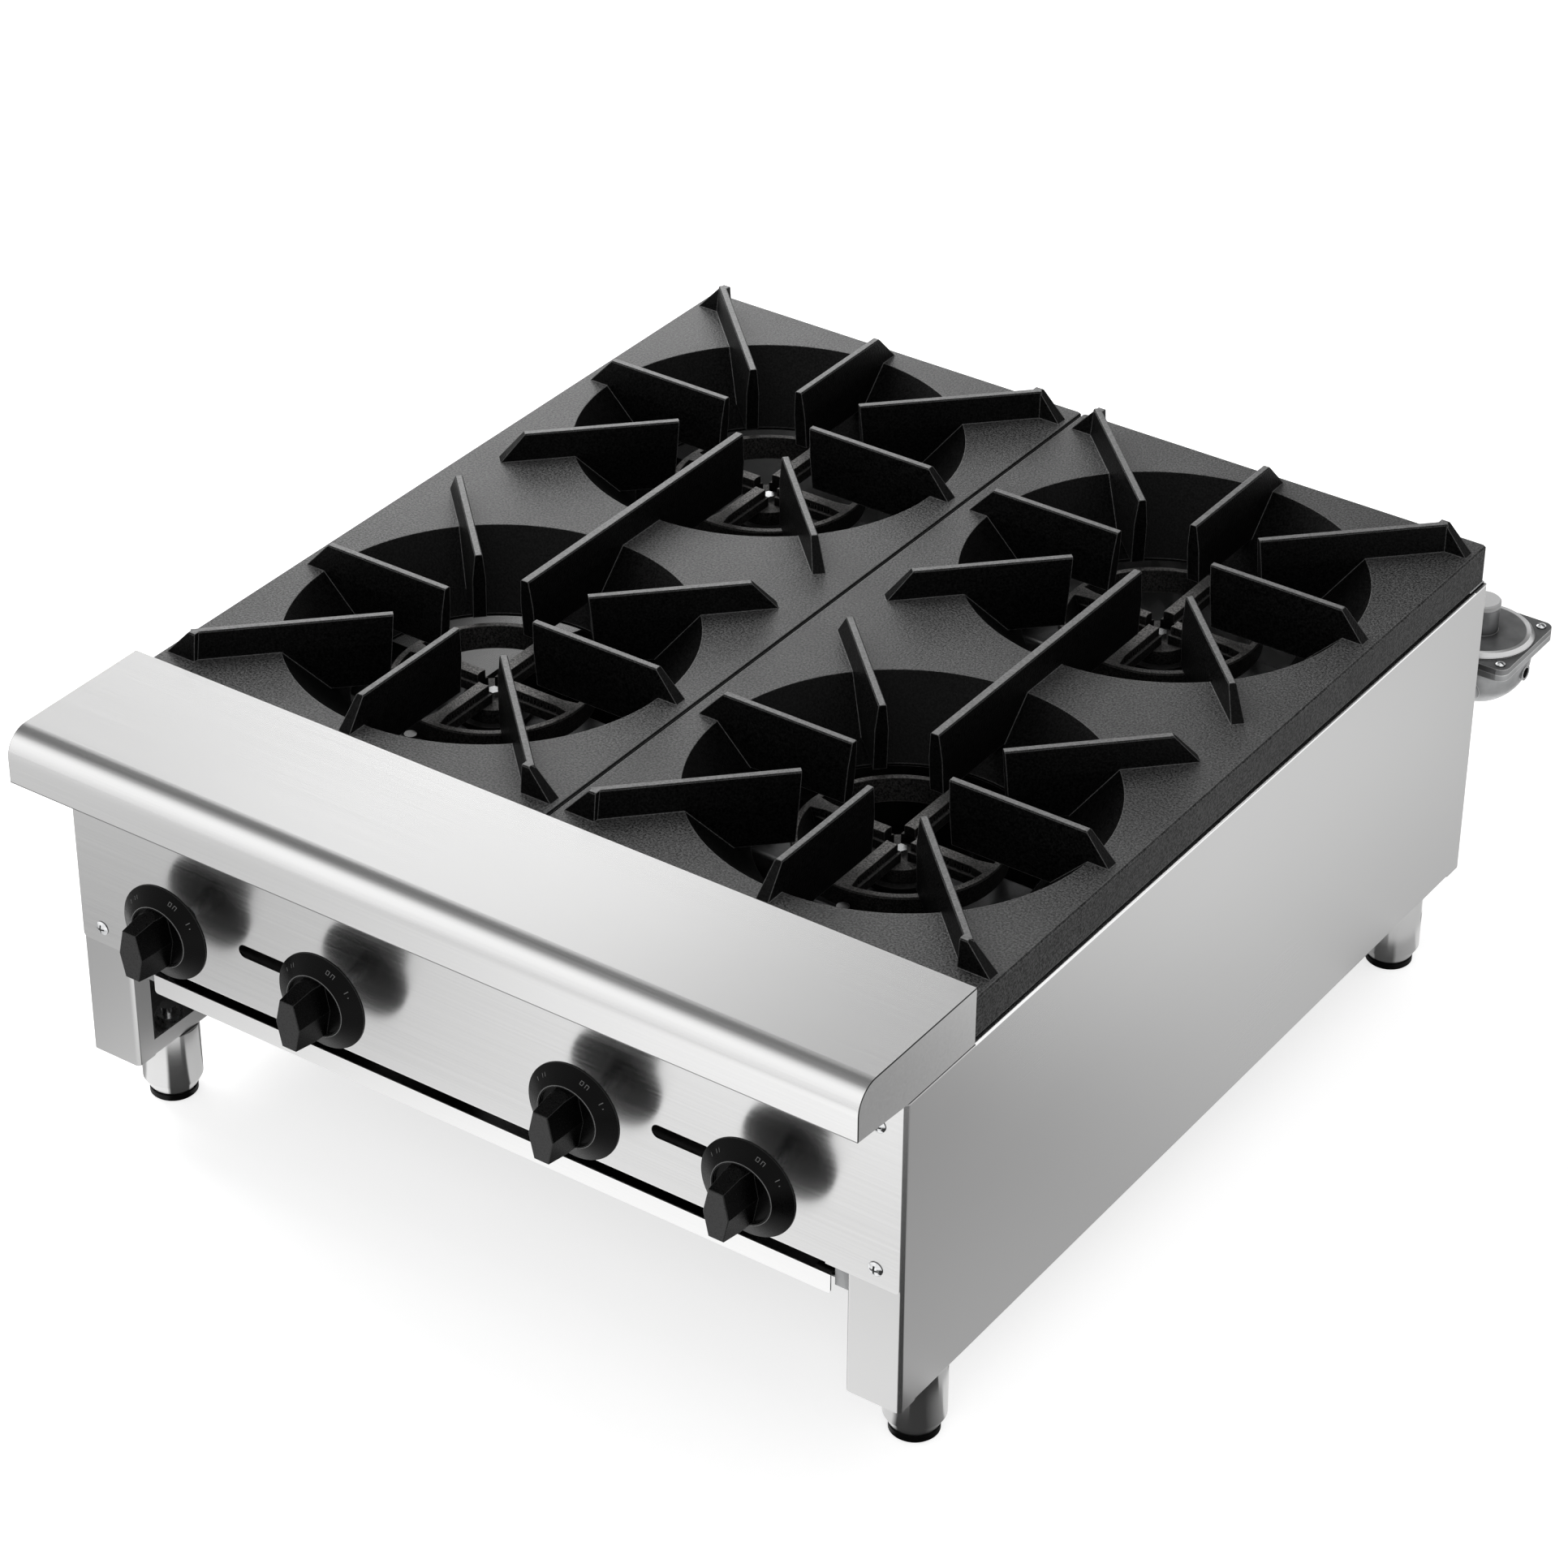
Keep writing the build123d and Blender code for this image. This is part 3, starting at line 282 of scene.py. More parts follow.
facing_front = ((1, 0, 0), (0, 0, 1), (0, -1, 0))
screw_low, screw_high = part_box("panel_screws")
screw_r, screw_h = 0.0048, 0.0024
screw_face_y = screw_low[1] + screw_h
screw_spots = [(x, screw_face_y, z) for x in (screw_low[0] + screw_r, screw_high[0] - screw_r)
               for z in (screw_low[2] + screw_r, screw_high[2] - screw_r)]
screw_plate = plated_steel("zinc_plate_screw", shade=0.8, smooth=0.16, warm=-0.01, recess=0.0012)
panel_heads = grid_piece("panel_screw_heads", [
    screw(spot, facing_front, turn=0.5 + 0.8 * i, head_r=screw_r, head_h=screw_h, rim_h=0.0006,
          shank_r=0.002, shank_l=screw_high[1] - screw_face_y, arm=0.0029, half=0.00052)
    for i, spot in enumerate(screw_spots)], screw_plate)
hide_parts("panel_screws")
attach(panel_heads, "range_body")

# Burner bolts, leg nuts and valve stems: turned or pressed steel, plated with zinc. The bolts go
# down through the burners' hubs, and the nuts hold the legs' studs inside the body.
zinc_plate = plated_steel("zinc_plate", shade=0.5, smooth=0.28, warm=-0.01)
valve_numbers = range(1, 5)
clothe(zinc_plate, "burner_bolts", "leg_nuts", *(f"valve_stem_{i}" for i in valve_numbers))

# Front ledge: a box of stainless sheet with a rolled nose and closed ends. The brushing runs
# along it and over the nose, so the blur turns from back and forth on top to up and down.
ledge_low, ledge_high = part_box("front_ledge")
nose_r = 0.017
seam_w = 0.0008
hem_z = ledge_low[2] + 0.0044
cap_skin = 0.0002


def length_of(add, a, b):
    """The root of a^2 + b^2."""
    squared = reckoned(add, "MULTIPLY", b, b)
    return reckoned(add, "SQRT", reckoned(add, "MULTIPLY_ADD", a, a, squared))


def ledge_joints_and_hem_shadow(add):
    """The dark joint of the end caps, a joint line's width in from the outline on the end faces,
    and a painted shadow line under the lip's hem. The depth under the rounded outline is
    r - |(r - a, r - b)| with a from the front and b from the top, and the lesser of a and b where
    either is past the nose."""
    place = place_of(add)
    on_end = reckoned(add, "GREATER_THAN", reckoned(add, "ABSOLUTE", place[0]),
                      ledge_high[0] - cap_skin)
    a = reckoned(add, "SUBTRACT", nose_r + ledge_low[1], place[1])
    b = reckoned(add, "SUBTRACT", place[2], ledge_high[2] - nose_r)
    on_nose = length_of(add, reckoned(add, "MAXIMUM", a, 0.0), reckoned(add, "MAXIMUM", b, 0.0))
    past_nose = reckoned(add, "MINIMUM", reckoned(add, "MAXIMUM", a, b), 0.0)
    reached = reckoned(add, "ADD", on_nose, past_nose)
    near = between(add, reached, nose_r - 1.5 * seam_w, nose_r - seam_w, 0.0, 1.0)
    # painted shadow: a dark line just above the lip's hem
    low = between(add, place[2], hem_z + seam_w * 0.6, hem_z + seam_w, 0.75, 0.0)
    on_lip = between(add, place[1], ledge_low[1] + seam_w / 2, ledge_low[1] + seam_w, 1.0, 0.0)
    return reckoned(add, "MAXIMUM", reckoned(add, "MULTIPLY", near, on_end),
                    reckoned(add, "MULTIPLY", low, on_lip))


ledge_steel = brushed_steel("stainless_ledge", grain=(5.0, 700.0, 700.0), across=(0, 1, 1),
                            shade=0.74, streak=0.022, dark_lines_and_shade=ledge_joints_and_hem_shadow)
clothe(ledge_steel, "front_ledge")


# Grates: sand-cast iron, enamelled matt black, laid loose on the rail and the rear shelf. The
# sand leaves a fine grain that glints. What faces up is painted grey, as sheen, the thin edges are
# painted grey, as wear and highlight, and the finger tops lighter still, as rubbing by pans and
# highlight.
def rounded_edges(add, radius):
    """The normal as if all edges were rounded over a radius, and how far it agrees with the
    true one: their product, which is 1 on a flat face and falls at an edge."""
    soft = add("Bevel", {"Radius": radius}, samples=6)
    true = add("NewGeometry").node.outputs["Normal"]
    return soft, add("VectorMath", {0: soft, 1: true}, operation="DOT_PRODUCT").node.outputs[1]


def cast_iron(name, shade, lit_level_tone, worn_lit_edge, grain_size, smooth, warm=0.0, shut_in=None,
              lit_frame_x=None, rubbed_lit_z=None):
    """Cast iron: grain of the given number of grains to a metre and larger clouds. What faces
    up is painted lighter, as sheen from above, and the sides stay dark, but for those beyond
    lit_frame_x to either side, which are painted as lit too. What lies above rubbed_lit_z is
    painted lighter still, as rubbing by pans and a painted highlight. Edges are painted pale, as
    wear and a painted highlight, and the iron is painted dark, as shade, where something stands
    nearer than shut_in."""
    material, add = new_finish(name)
    sand = stretched(add, (grain_size,) * 3, 2.0, 0.7)
    patch = stretched(add, (14.0, 14.0, 14.0), 4.0, 0.6)
    soft_edge, agree = rounded_edges(add, 0.0009)
    # painted highlight and wear: edges are painted pale
    shown = between(add, agree, 0.998, 0.93, 0.0, 0.7)
    upward = add("SeparateXYZ", {0: soft_edge}).node.outputs[2]
    level = between(add, upward, 0.8, 0.97, 0.0, 1.0)
    tone = reckoned(add, "MULTIPLY", spread(add, patch, 0.82, 1.18),
                    between(add, sand, 0.37, 0.65, 0.1, 2.0))
    side_shade = shade
    # painted light: outer rims beyond lit_frame_x take the lit tone
    if lit_frame_x:
        from_middle = reckoned(add, "ABSOLUTE", place_of(add)[0])
        side_shade = between(add, from_middle, lit_frame_x - 0.001, lit_frame_x, shade, lit_level_tone)
    # painted light: faces that look up take the lit tone, as sheen from above
    lit = add("Mix", {"Factor": level, 2: side_shade, 3: lit_level_tone})
    lit = reckoned(add, "MULTIPLY", lit, tone)
    # painted highlight and rubbing: the finger tops are painted lighter still
    if rubbed_lit_z:
        rubbed_and_lit = between(add, place_of(add)[2], rubbed_lit_z - 0.002, rubbed_lit_z, 0.0, 0.65)
        shown = reckoned(add, "MAXIMUM", reckoned(add, "MULTIPLY", rubbed_and_lit, level), shown)
    lit = add("Mix", {"Factor": shown, 2: lit, 3: spread(add, sand, worn_lit_edge * 0.55, worn_lit_edge)})
    # painted shade where something stands near
    if shut_in:
        lit = reckoned(add, "MULTIPLY", unshaded_share(add, shut_in, 2.0), lit)
    colour = mixed(add, lit, grey(0.0), grey(1.0, warm))
    rough = spread(add, sand, smooth - 0.08, smooth + 0.1)
    relief = add("Bump", {"Height": sand, "Strength": 0.7, "Distance": 0.0006, "Normal": soft_edge})
    shine = between(add, level, 0.0, 1.0, 0.06, 0.45)
    add("", {"Base Color": colour, "Metallic": 0.0, "Roughness": rough, "Normal": relief,
             "Specular IOR Level": shine})
    return material


grate_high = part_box("grate_right")[1]
frame_skin, rubbed_lit_depth = 0.0005, 0.001
grate_iron = cast_iron("cast_iron_grate", shade=0.004, lit_level_tone=0.058, worn_lit_edge=0.3,
                       grain_size=720.0, smooth=0.38, lit_frame_x=grate_high[0] - frame_skin,
                       rubbed_lit_z=grate_high[2] - rubbed_lit_depth)
clothe(grate_iron, "grate_left", "grate_right")

# Burner heads: bare cast iron with sawn ports, slightly browned by heat, with what faces up painted
# grey as sheen and the hollows painted dark as shade. Each stands on its riser, held by the bolt
# through its hub.
burner_iron = cast_iron("cast_iron_burner", shade=0.02, lit_level_tone=0.11, worn_lit_edge=0.2,
                        grain_size=800.0, smooth=0.5, warm=0.03, shut_in=0.03)
quarters = ("front_left", "front_right", "rear_left", "rear_right")
clothe(burner_iron, *(f"burner_head_{quarter}" for quarter in quarters))

# Mixing tubes: cast iron, painted dark under the burners, as shade, and each carried by a cross
# bar.
# Their air shutters are zinc-plated cups, clamped over the belled mouths.
tube_iron = cast_iron("cast_iron_tube", shade=0.01, lit_level_tone=0.025, worn_lit_edge=0.04,
                      grain_size=700.0, smooth=0.55, warm=0.03, shut_in=0.05)
clothe(tube_iron, *(f"mixing_tube_{quarter}" for quarter in quarters))
shutter_plate = plated_steel("shutter_plate", shade=0.42, smooth=0.34, warm=0.01)
clothe(shutter_plate, "air_shutters")


# Gas valves, orifice hoods and pilot valves: forged brass, machined where it seals and threaded
# into the manifold.
def forged_brass(name):
    """Yellow metal, patchy from the forge, as noise between a dull and a bright tone."""
    material, add = new_finish(name)
    grain = stretched(add, (260.0, 260.0, 260.0), 4.0)
    colour = mixed(add, spread(add, grain, 0.0, 1.0), (0.42, 0.29, 0.11, 1), (0.66, 0.48, 0.2, 1))
    rough = spread(add, grain, 0.3, 0.48)
    relief = add("Bump", {"Height": grain, "Strength": 0.15, "Distance": 0.0002})
    add("", {"Base Color": colour, "Metallic": 1.0, "Roughness": rough, "Normal": relief})
    return material


brass = forged_brass("brass")
clothe(brass, "orifice_hoods", "pilot_valves", *(f"valve_{i}" for i in valve_numbers))

# Pilot tubes and tips: thin drawn steel tube, bright when new, bent up from the pilot valves to
# the burners.
pilot_steel = plated_steel("pilot_steel", shade=0.3, smooth=0.3)
clothe(pilot_steel, "pilot_tubes", "pilot_tips")


# Manifold, elbow and supply pipe: black gas pipe, threaded together, with oiled mill scale and
# a grey bloom on it.
def mill_scale(name):
    """Black scale with a bloom, as noise between two near blacks."""
    material, add = new_finish(name)
    bloom = stretched(add, (60.0, 60.0, 60.0), 5.0, 0.65)
    share = between(add, bloom, 0.35, 0.7, 0.0, 1.0)
    colour = mixed(add, share, (0.018, 0.017, 0.017, 1), (0.06, 0.056, 0.054, 1))
    rough = spread(add, bloom, 0.38, 0.58)
    relief = add("Bump", {"Height": bloom, "Strength": 0.2, "Distance": 0.0004})
    add("", {"Base Color": colour, "Metallic": 0.35, "Roughness": rough, "Normal": relief})
    return material


gas_pipe = mill_scale("black_pipe")
clothe(gas_pipe, "gas_manifold", "supply_elbow", "supply_pipe")


# Knobs: black phenolic plastic, pressed in a mould with a satin face, and pushed on the stems.
# A thin pale bead runs round the dish as a painted highlight, and short pale marks are printed on
# the skirt; both turn with their knob.
def moulded_plastic(name, dark, pale, smooth, grain_size, shine=0.5, worn_lit_edge=None, pale_face_y=None):
    """Moulded plastic: a fine grain, edges as pale as worn_lit_edge, where it is given, as wear
    and painted highlight, and the face at the front place pale_face_y, where one is given,
    painted paler, as a reflection of the floor, and shinier than the rest."""
    material, add = new_finish(name)
    grain = stretched(add, (grain_size,) * 3, 3.0)
    colour = mixed(add, grain, grey(dark), grey(pale))
    if worn_lit_edge:
        # painted highlight and wear: edges are painted pale
        edge = between(add, rounded_edges(add, 0.0006)[1], 0.998, 0.93, 0.0, 1.0)
        colour = mixed(add, edge, colour, grey(worn_lit_edge))
    if pale_face_y:
        # painted reflection: the grip's end face is painted paler, as the floor it faces
        face_reflection = between(add, place_of(add)[1], pale_face_y + 0.0002, pale_face_y + 0.0006, 1.0, 0.0)
        colour = mixed(add, face_reflection, colour, mixed(add, grain, grey(0.01), grey(0.045)))
        shine = between(add, face_reflection, 0.0, 1.0, shine, 0.3)
    rough = spread(add, grain, smooth - 0.04, smooth + 0.06)
    relief = add("Bump", {"Height": grain, "Strength": 0.1, "Distance": 0.00012})
    add("", {"Base Color": colour, "Roughness": rough, "Normal": relief,
             "Specular IOR Level": shine})
    return material


grip_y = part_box("knob_1")[0][1]
knob_black = moulded_plastic("knob_plastic", dark=0.0008, pale=0.0026, smooth=0.28,
                             grain_size=900.0, shine=0.07, worn_lit_edge=0.06, pale_face_y=grip_y)
highlight_bead_grey = moulded_plastic("knob_highlight_bead", dark=0.18, pale=0.24, smooth=0.25, grain_size=1600.0)
mark_grey = moulded_plastic("knob_marks", dark=0.1, pale=0.3, smooth=0.5, grain_size=1600.0,
                            shine=0.3)
back_hub = 0.004
skirt_r, skirt_rim, skirt_depth, dish_r = 0.0322, 0.0012, 0.008, 0.021
bead_r, bead_width = dish_r - 0.0004, 0.00028
mark_lift, mark_thick = 0.00002, 0.00006
# each mark: its angle from the top and its half width in degrees, then its two radii
mark_rows = ((17, 0.4, 0.026, 0.0283), (21, 0.4, 0.026, 0.0283), (19, 2.2, 0.028, 0.0283),
             (19, 2.2, 0.026, 0.0263), (25, 0.4, 0.026, 0.0283), (29, 0.4, 0.026, 0.0283),
             (27, 2.2, 0.028, 0.0283), (53, 0.5, 0.0262, 0.0288), (60, 0.6, 0.0268, 0.0275),
             (-40, 0.4, 0.026, 0.0283), (-45, 0.4, 0.026, 0.0283), (-56, 0.5, 0.0262, 0.0284))


def knob_point(knob, r, a, out):
    """A point of a knob: r from its axis, at the angle a clockwise from the top, out from its
    back."""
    low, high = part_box(knob)
    return np.stack([(low[0] + high[0]) / 2 + r * np.sin(a), high[1] - back_hub - out,
                     (low[2] + high[2]) / 2 + r * np.cos(a)], axis=-1)


def skirt_mark(knob, angle, wide, r_low, r_high):
    """A patch of the skirt's cone, where the height falls evenly from the dish to the rim."""
    r = np.linspace(r_low, r_high, 4)[:, None]
    a = np.radians(np.linspace(angle - wide, angle + wide, 5)) + 0 * r
    fall = (r - dish_r) / (skirt_r - dish_r)
    out = skirt_depth + (skirt_rim - skirt_depth) * fall + mark_lift + 0 * a
    return knob_point(knob, r + 0 * a, a, out)


def dish_highlight_bead(knob):
    """A ring: a small circle carried round the dish's edge."""
    turn = np.linspace(0, 2 * math.pi, 97)
    round_it = np.linspace(0, 2 * math.pi, 9)[:, None]
    r = bead_r + bead_width * np.cos(round_it) + 0 * turn
    return knob_point(knob, r, turn + 0 * r, skirt_depth + bead_width * np.sin(round_it) + 0 * r)


for i in valve_numbers:
    knob = f"knob_{i}"
    clothe(knob_black, knob)
    # painted highlight: a pale bead round the dish's edge
    highlight_bead = grid_piece(f"{knob}_bead", [dish_highlight_bead(knob)], highlight_bead_grey)
    marks = grid_piece(f"{knob}_marks", [skirt_mark(knob, *row) for row in mark_rows], mark_grey,
                       mark_thick)
    for piece in (highlight_bead, marks):
        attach(piece, f"{knob}_body")

# Drip tray: a pan of stainless sheet whose side rims slide on the runners. Its lip is brushed
# from side to side as the panel is, and the pan behind it is painted dark, as shade under the
# burners.
lip_depth, lip_edge = 0.003, 0.002
lip_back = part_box("drip_tray")[0][1] + lip_depth


def pan_painted_shade(add):
    """The pan behind the lip, painted part way dark as shade, and nearly black where the body shuts
    it in.
    """
    behind = between(add, place_of(add)[1], lip_back, lip_back + lip_edge, 0.0, 1.0)
    # painted shade: darkest where the body shuts the pan in
    shade_share = between(add, unshaded_share(add, 0.25, 1.0), 0.35, 0.8, 1.0, 0.45)
    return reckoned(add, "MULTIPLY", behind, shade_share)


tray_steel = brushed_steel("stainless_tray", grain=(4.0, 900.0, 1100.0), across=(0, 0, 1),
                           shade=0.9, dark_lines_and_shade=pan_painted_shade)
clothe(tray_steel, "drip_tray")

# Legs and feet: turned and polished steel tube with fine rings round it, hung from the body by
# a stud. The feet are black plastic and screw in and out of the legs.
leg_steel = brushed_steel("polished_leg", grain=(60.0, 60.0, 1400.0), across=(0, 0, 1),
                          shade=0.7, smooth=0.17)
clothe(leg_steel, *(f"leg_{quarter}" for quarter in quarters))
foot_black = moulded_plastic("foot_plastic", dark=0.002, pale=0.004, smooth=0.4,
                             grain_size=900.0, shine=0.1)
clothe(foot_black, *(f"foot_{quarter}" for quarter in quarters))


# Regulator: die-cast aluminium, tumbled dull, with a pale plastic cap on its vent tower. Four
# slotted screws hold its cover down, and these take the place of the plain heads.
def die_casting(name, shade, middle=None, dome_r=None):
    """A casting of the given shade, with shade painted dark in its hollows and highlights painted
    on its edges. Where a middle is given, the cover's dome falls off over its last millimetres,
    as a slope of the height with the radius, and that slope is painted bright as a highlight."""
    material, add = new_finish(name)
    skin = stretched(add, (500.0, 500.0, 500.0), 3.0, 0.6)
    flow = stretched(add, (40.0, 40.0, 40.0), 3.0)
    cast = mixed(add, spread(add, flow, 0.0, 1.0), grey(shade * 0.75, -0.01),
                 grey(shade * 1.25, -0.01))
    # painted shade in the hollows
    colour = mixed(add, unshaded_share(add, 0.008, 1.5), grey(0.02), cast)
    # painted highlight on the edges
    bright = between(add, rounded_edges(add, 0.0008)[1], 0.995, 0.93, 0.0, 0.8)
    relief = add("Bump", {"Height": skin, "Strength": 0.25, "Distance": 0.0003})
    if middle:
        place = place_of(add)
        radius = length_of(add, reckoned(add, "SUBTRACT", place[0], middle[0]),
                           reckoned(add, "SUBTRACT", place[1], middle[1]))
        # painted highlight on the dome's sloping rim
        raised = between(add, place[2], middle[2] + 0.0008, middle[2] + 0.0016, 0.0, 1.0)
        sloped = between(add, radius, dome_r - dome_slope, dome_r - bright_slope, 0.0, 1.0)
        within = between(add, radius, dome_r, dome_r + 0.0005, 1.0, 0.0)
        slope = reckoned(add, "MULTIPLY", reckoned(add, "MULTIPLY", raised, sloped), within)
        bright = reckoned(add, "MULTIPLY_ADD", slope, 0.7, bright)
        fall = between(add, radius, dome_r - dome_slope, dome_r, 1.0, 0.0)
        relief = add("Bump", {"Height": fall, "Strength": 1.0, "Distance": 0.0025,
                              "Normal": relief})
    add("", {"Base Color": mixed(add, bright, colour, grey(0.85)), "Metallic": 0.9,
             "Roughness": spread(add, skin, 0.28, 0.4), "Normal": relief})
    return material


cover_screw_low, cover_screw_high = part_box("regulator_screws")
cover_screw_r, cover_screw_h = 0.0033, 0.0022
cover_face_z = cover_screw_high[2] - cover_screw_h
dome_slope, bright_slope = 0.0058, 0.005
body_low, body_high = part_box("regulator_body")
body_cast = die_casting("die_cast", shade=0.4)
clothe(body_cast, "regulator_body")
cover_cast = die_casting("die_cast_cover", shade=0.24, dome_r=0.0355,
                         middle=((body_low[0] + body_high[0]) / 2,
                                 (body_low[1] + body_high[1]) / 2, cover_face_z))
clothe(cover_cast, "regulator_cover")
cap_pale = moulded_plastic("cap_plastic", dark=0.62, pale=0.68, smooth=0.4, grain_size=900.0)
clothe(cap_pale, "regulator_cap")

facing_up = ((1, 0, 0), (0, 1, 0), (0, 0, 1))
cover_spots = [(x, y, cover_face_z)
               for x in (cover_screw_low[0] + cover_screw_r, cover_screw_high[0] - cover_screw_r)
               for y in (cover_screw_low[1] + cover_screw_r, cover_screw_high[1] - cover_screw_r)]
cover_heads = grid_piece("regulator_screw_heads", [
    screw(spot, facing_up, turn=0.4 + 1.1 * i, head_r=cover_screw_r, head_h=cover_screw_h,
          rim_h=0.0008, shank_r=0.002, shank_l=cover_face_z - cover_screw_low[2], arm=0.003,
          half=0.0009, slotted=True)
    for i, spot in enumerate(cover_spots)], screw_plate)
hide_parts("regulator_screws")
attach(cover_heads, "range_body")


# Floor: pale matt paint that runs out of sight and keeps a soft shadow. It glows to the eye and
# to polished metal, so that it shows as white, and sheds no light on the object.
def flat_square(name, size):
    """A level square on the ground, facing up."""
    made = bpy.data.meshes.new(name)
    made.from_pydata([(-size, -size, 0), (size, -size, 0), (size, size, 0), (-size, size, 0)],
                     [], [(0, 1, 2, 3)])
    return place_in_scene(name, made)


white = grey(1.0)
floor = flat_square("floor", 30.0)
floor_paint, add = new_finish("floor_paint")
speckle = stretched(add, (3.0, 3.0, 3.0), 2.0)
path = add("LightPath").node.outputs
seen = reckoned(add, "MAXIMUM", path["Is Camera Ray"], path["Is Glossy Ray"])
seen = reckoned(add, "MAXIMUM", seen, path["Is Transmission Ray"])
add("", {"Base Color": mixed(add, speckle, grey(0.74), grey(0.76)), "Roughness": 0.9,
         "Specular IOR Level": 0.1, "Emission Color": white,
         "Emission Strength": between(add, seen, 0.0, 1.0, 0.0, 0.7)})
floor.data.materials.append(floor_paint)

# Surround: white to the eye. Polished metal also sees a dark stretch of ceiling on the left,
# between the wall behind the object and the light in front of it.
world = bpy.data.worlds.new("surround")
bpy.context.scene.world = world
world.use_nodes = True
add = node_adder(world.node_tree, world.node_tree.nodes["Background"])
# each stop: its share of the half turn from the back over the top to the front, and its level
ceiling = ((0.0, 0.95), (0.235, 1.0), (0.29, 0.4), (0.35, 0.2), (0.52, 0.2), (0.59, 0.4),
           (0.66, 1.05), (0.75, 1.3), (0.92, 1.15), (1.0, 1.0))
top_level = max(level for _, level in ceiling)
way = place_of(add, "Generated")
over_the_top = reckoned(add, "ARCTAN2", way[2], way[1])
stops = add("ValToRGB", {"Fac": between(add, over_the_top, 0.0, math.pi, 0.0, 1.0)})
ramp = stops.node.color_ramp
ramp.elements[0].position, ramp.elements[1].position = ceiling[0][0], ceiling[-1][0]
for at, level in ceiling[1:-1]:
    ramp.elements.new(at)
for stop, (at, level) in zip(ramp.elements, ceiling):
    stop.color = grey(level / top_level)
left_part = between(add, way[0], -0.2, -0.36, 0.0, 1.0)
other_part = between(add, left_part, 0.0, 1.0, 1.0, 0.0)
banded = reckoned(add, "MULTIPLY", stops, top_level)
mirrored = reckoned(add, "MULTIPLY_ADD", banded, left_part, other_part)
path = add("LightPath").node.outputs
clear = reckoned(add, "MAXIMUM", path["Is Camera Ray"], path["Is Transmission Ray"])
plain = between(add, clear, 0.0, 1.0, 0.4, 1.0)
add("", {"Color": white, "Strength": add("Mix", {0: path["Is Glossy Ray"], 2: plain, 3: mirrored})})

# Cards: level sheets that only polished metal sees, as a photographer sets them round steel.
# Each is brighter or darker from place to place, as its own glow.
card_paint, add = new_finish("card_paint")
card_level = add("Attribute", attribute_name="level").node.outputs["Fac"]
add("", {"Base Color": grey(0.0), "Roughness": 1.0, "Specular IOR Level": 0.0,
         "Emission Color": white, "Emission Strength": card_level})
card_paint.cycles.emission_sampling = "NONE"
card_z, high_z = 0.0006, 0.75
body_x, front_y, rear_y = 0.3048, -0.345, 0.32


def card(name, x, y, level, z=card_z):
    """A level sheet over a grid of places, of the brightness level(x, y) at each."""
    sheet = grid_piece(name, [np.stack([x, y, z + 0 * x], axis=-1)], card_paint)
    spots = np.empty(len(sheet.data.vertices) * 3, np.float32)
    sheet.data.vertices.foreach_get("co", spots)
    bright = sheet.data.attributes.new("level", "FLOAT", "POINT")
    shine = np.broadcast_to(level(spots[0::3], spots[1::3]), len(spots) // 3)
    bright.data.foreach_set("value", shine.astype(np.float32))
    sheet.visible_camera = sheet.visible_diffuse = False
    sheet.visible_shadow = sheet.visible_transmission = False


def cells(x_low, x_high, y_low, y_high, step=0.04):
    """The places of an even grid over an oblong."""
    return np.meshgrid(np.linspace(x_low, x_high, round((x_high - x_low) / step) + 2),
                       np.linspace(y_low, y_high, round((y_high - y_low) / step) + 2),
                       indexing="ij")


def front_level(x, y):
    """Before the body: brighter to the right, with a pale band near the ledge's nose and two
    pale steps further out."""
    band = 0.24 * ramped(y, -0.53, -0.49) * ramped(x, -0.45, -0.3)
    steps = 0.18 * ramped(-y, 0.53, 0.62) + 0.22 * ramped(-y, 0.66, 0.75)
    return (0.68 + 0.4 * ramped(x, -0.46, 0.0)) * (0.78 + band + steps)


def side_level(x, y):
    """Beside the body: pale close to it and further out, most of all half way back, with a
    darker strip by the front and a darker end."""
    half_way = 0.12 * ramped(y, -0.1, 0.15) - 0.14 * ramped(y, 0.45, 0.75)
    further_out = 0.34 * ramped(x, 0.33, 0.5) * ramped(y, -0.02, 0.3)
    strip = 0.14 * ramped(x, 0.47, 0.51) * (1 - ramped(y, -0.04, 0.08))
    close = 0.07 * (1 - ramped(x, 0.36, 0.42))
    return 0.46 + half_way + further_out - strip + close


def corner_level(x, y):
    """Off the body's front right corner: nearly black, and pale from half a metre on."""
    return 0.04 + 0.75 * ramped(np.hypot(x - body_x, y - front_y), 0.35, 0.65)


def ledge_level(x, y):
    """Over the ledge: darker towards the middle than on the left."""
    return 0.9 + 0.2 * ramped(x, -0.72, -0.5) - 0.48 * ramped(x, -0.34, 0.0)


def plate_level(x, y):
    """Behind and over the grates: bright on the left and dim on the right."""
    return 0.2 + 3.0 * (1 - ramped(x, -0.85, -0.2))


card("front_card", *cells(-1.6, body_x, -2.2, front_y), front_level)
card("side_card", *cells(body_x, 1.6, -0.3, 1.6), side_level)
card("corner_card", *cells(body_x, 0.9, -1.1, -0.3), corner_level)
card("under_card", *cells(-body_x, body_x, front_y, rear_y), lambda x, y: 0.26)
card("top_card", *cells(-1.3, 0.3, -0.1, 0.4), ledge_level, high_z)
card("plate_card", *cells(-1.8, 0.9, 0.55, 1.8), plate_level, high_z)

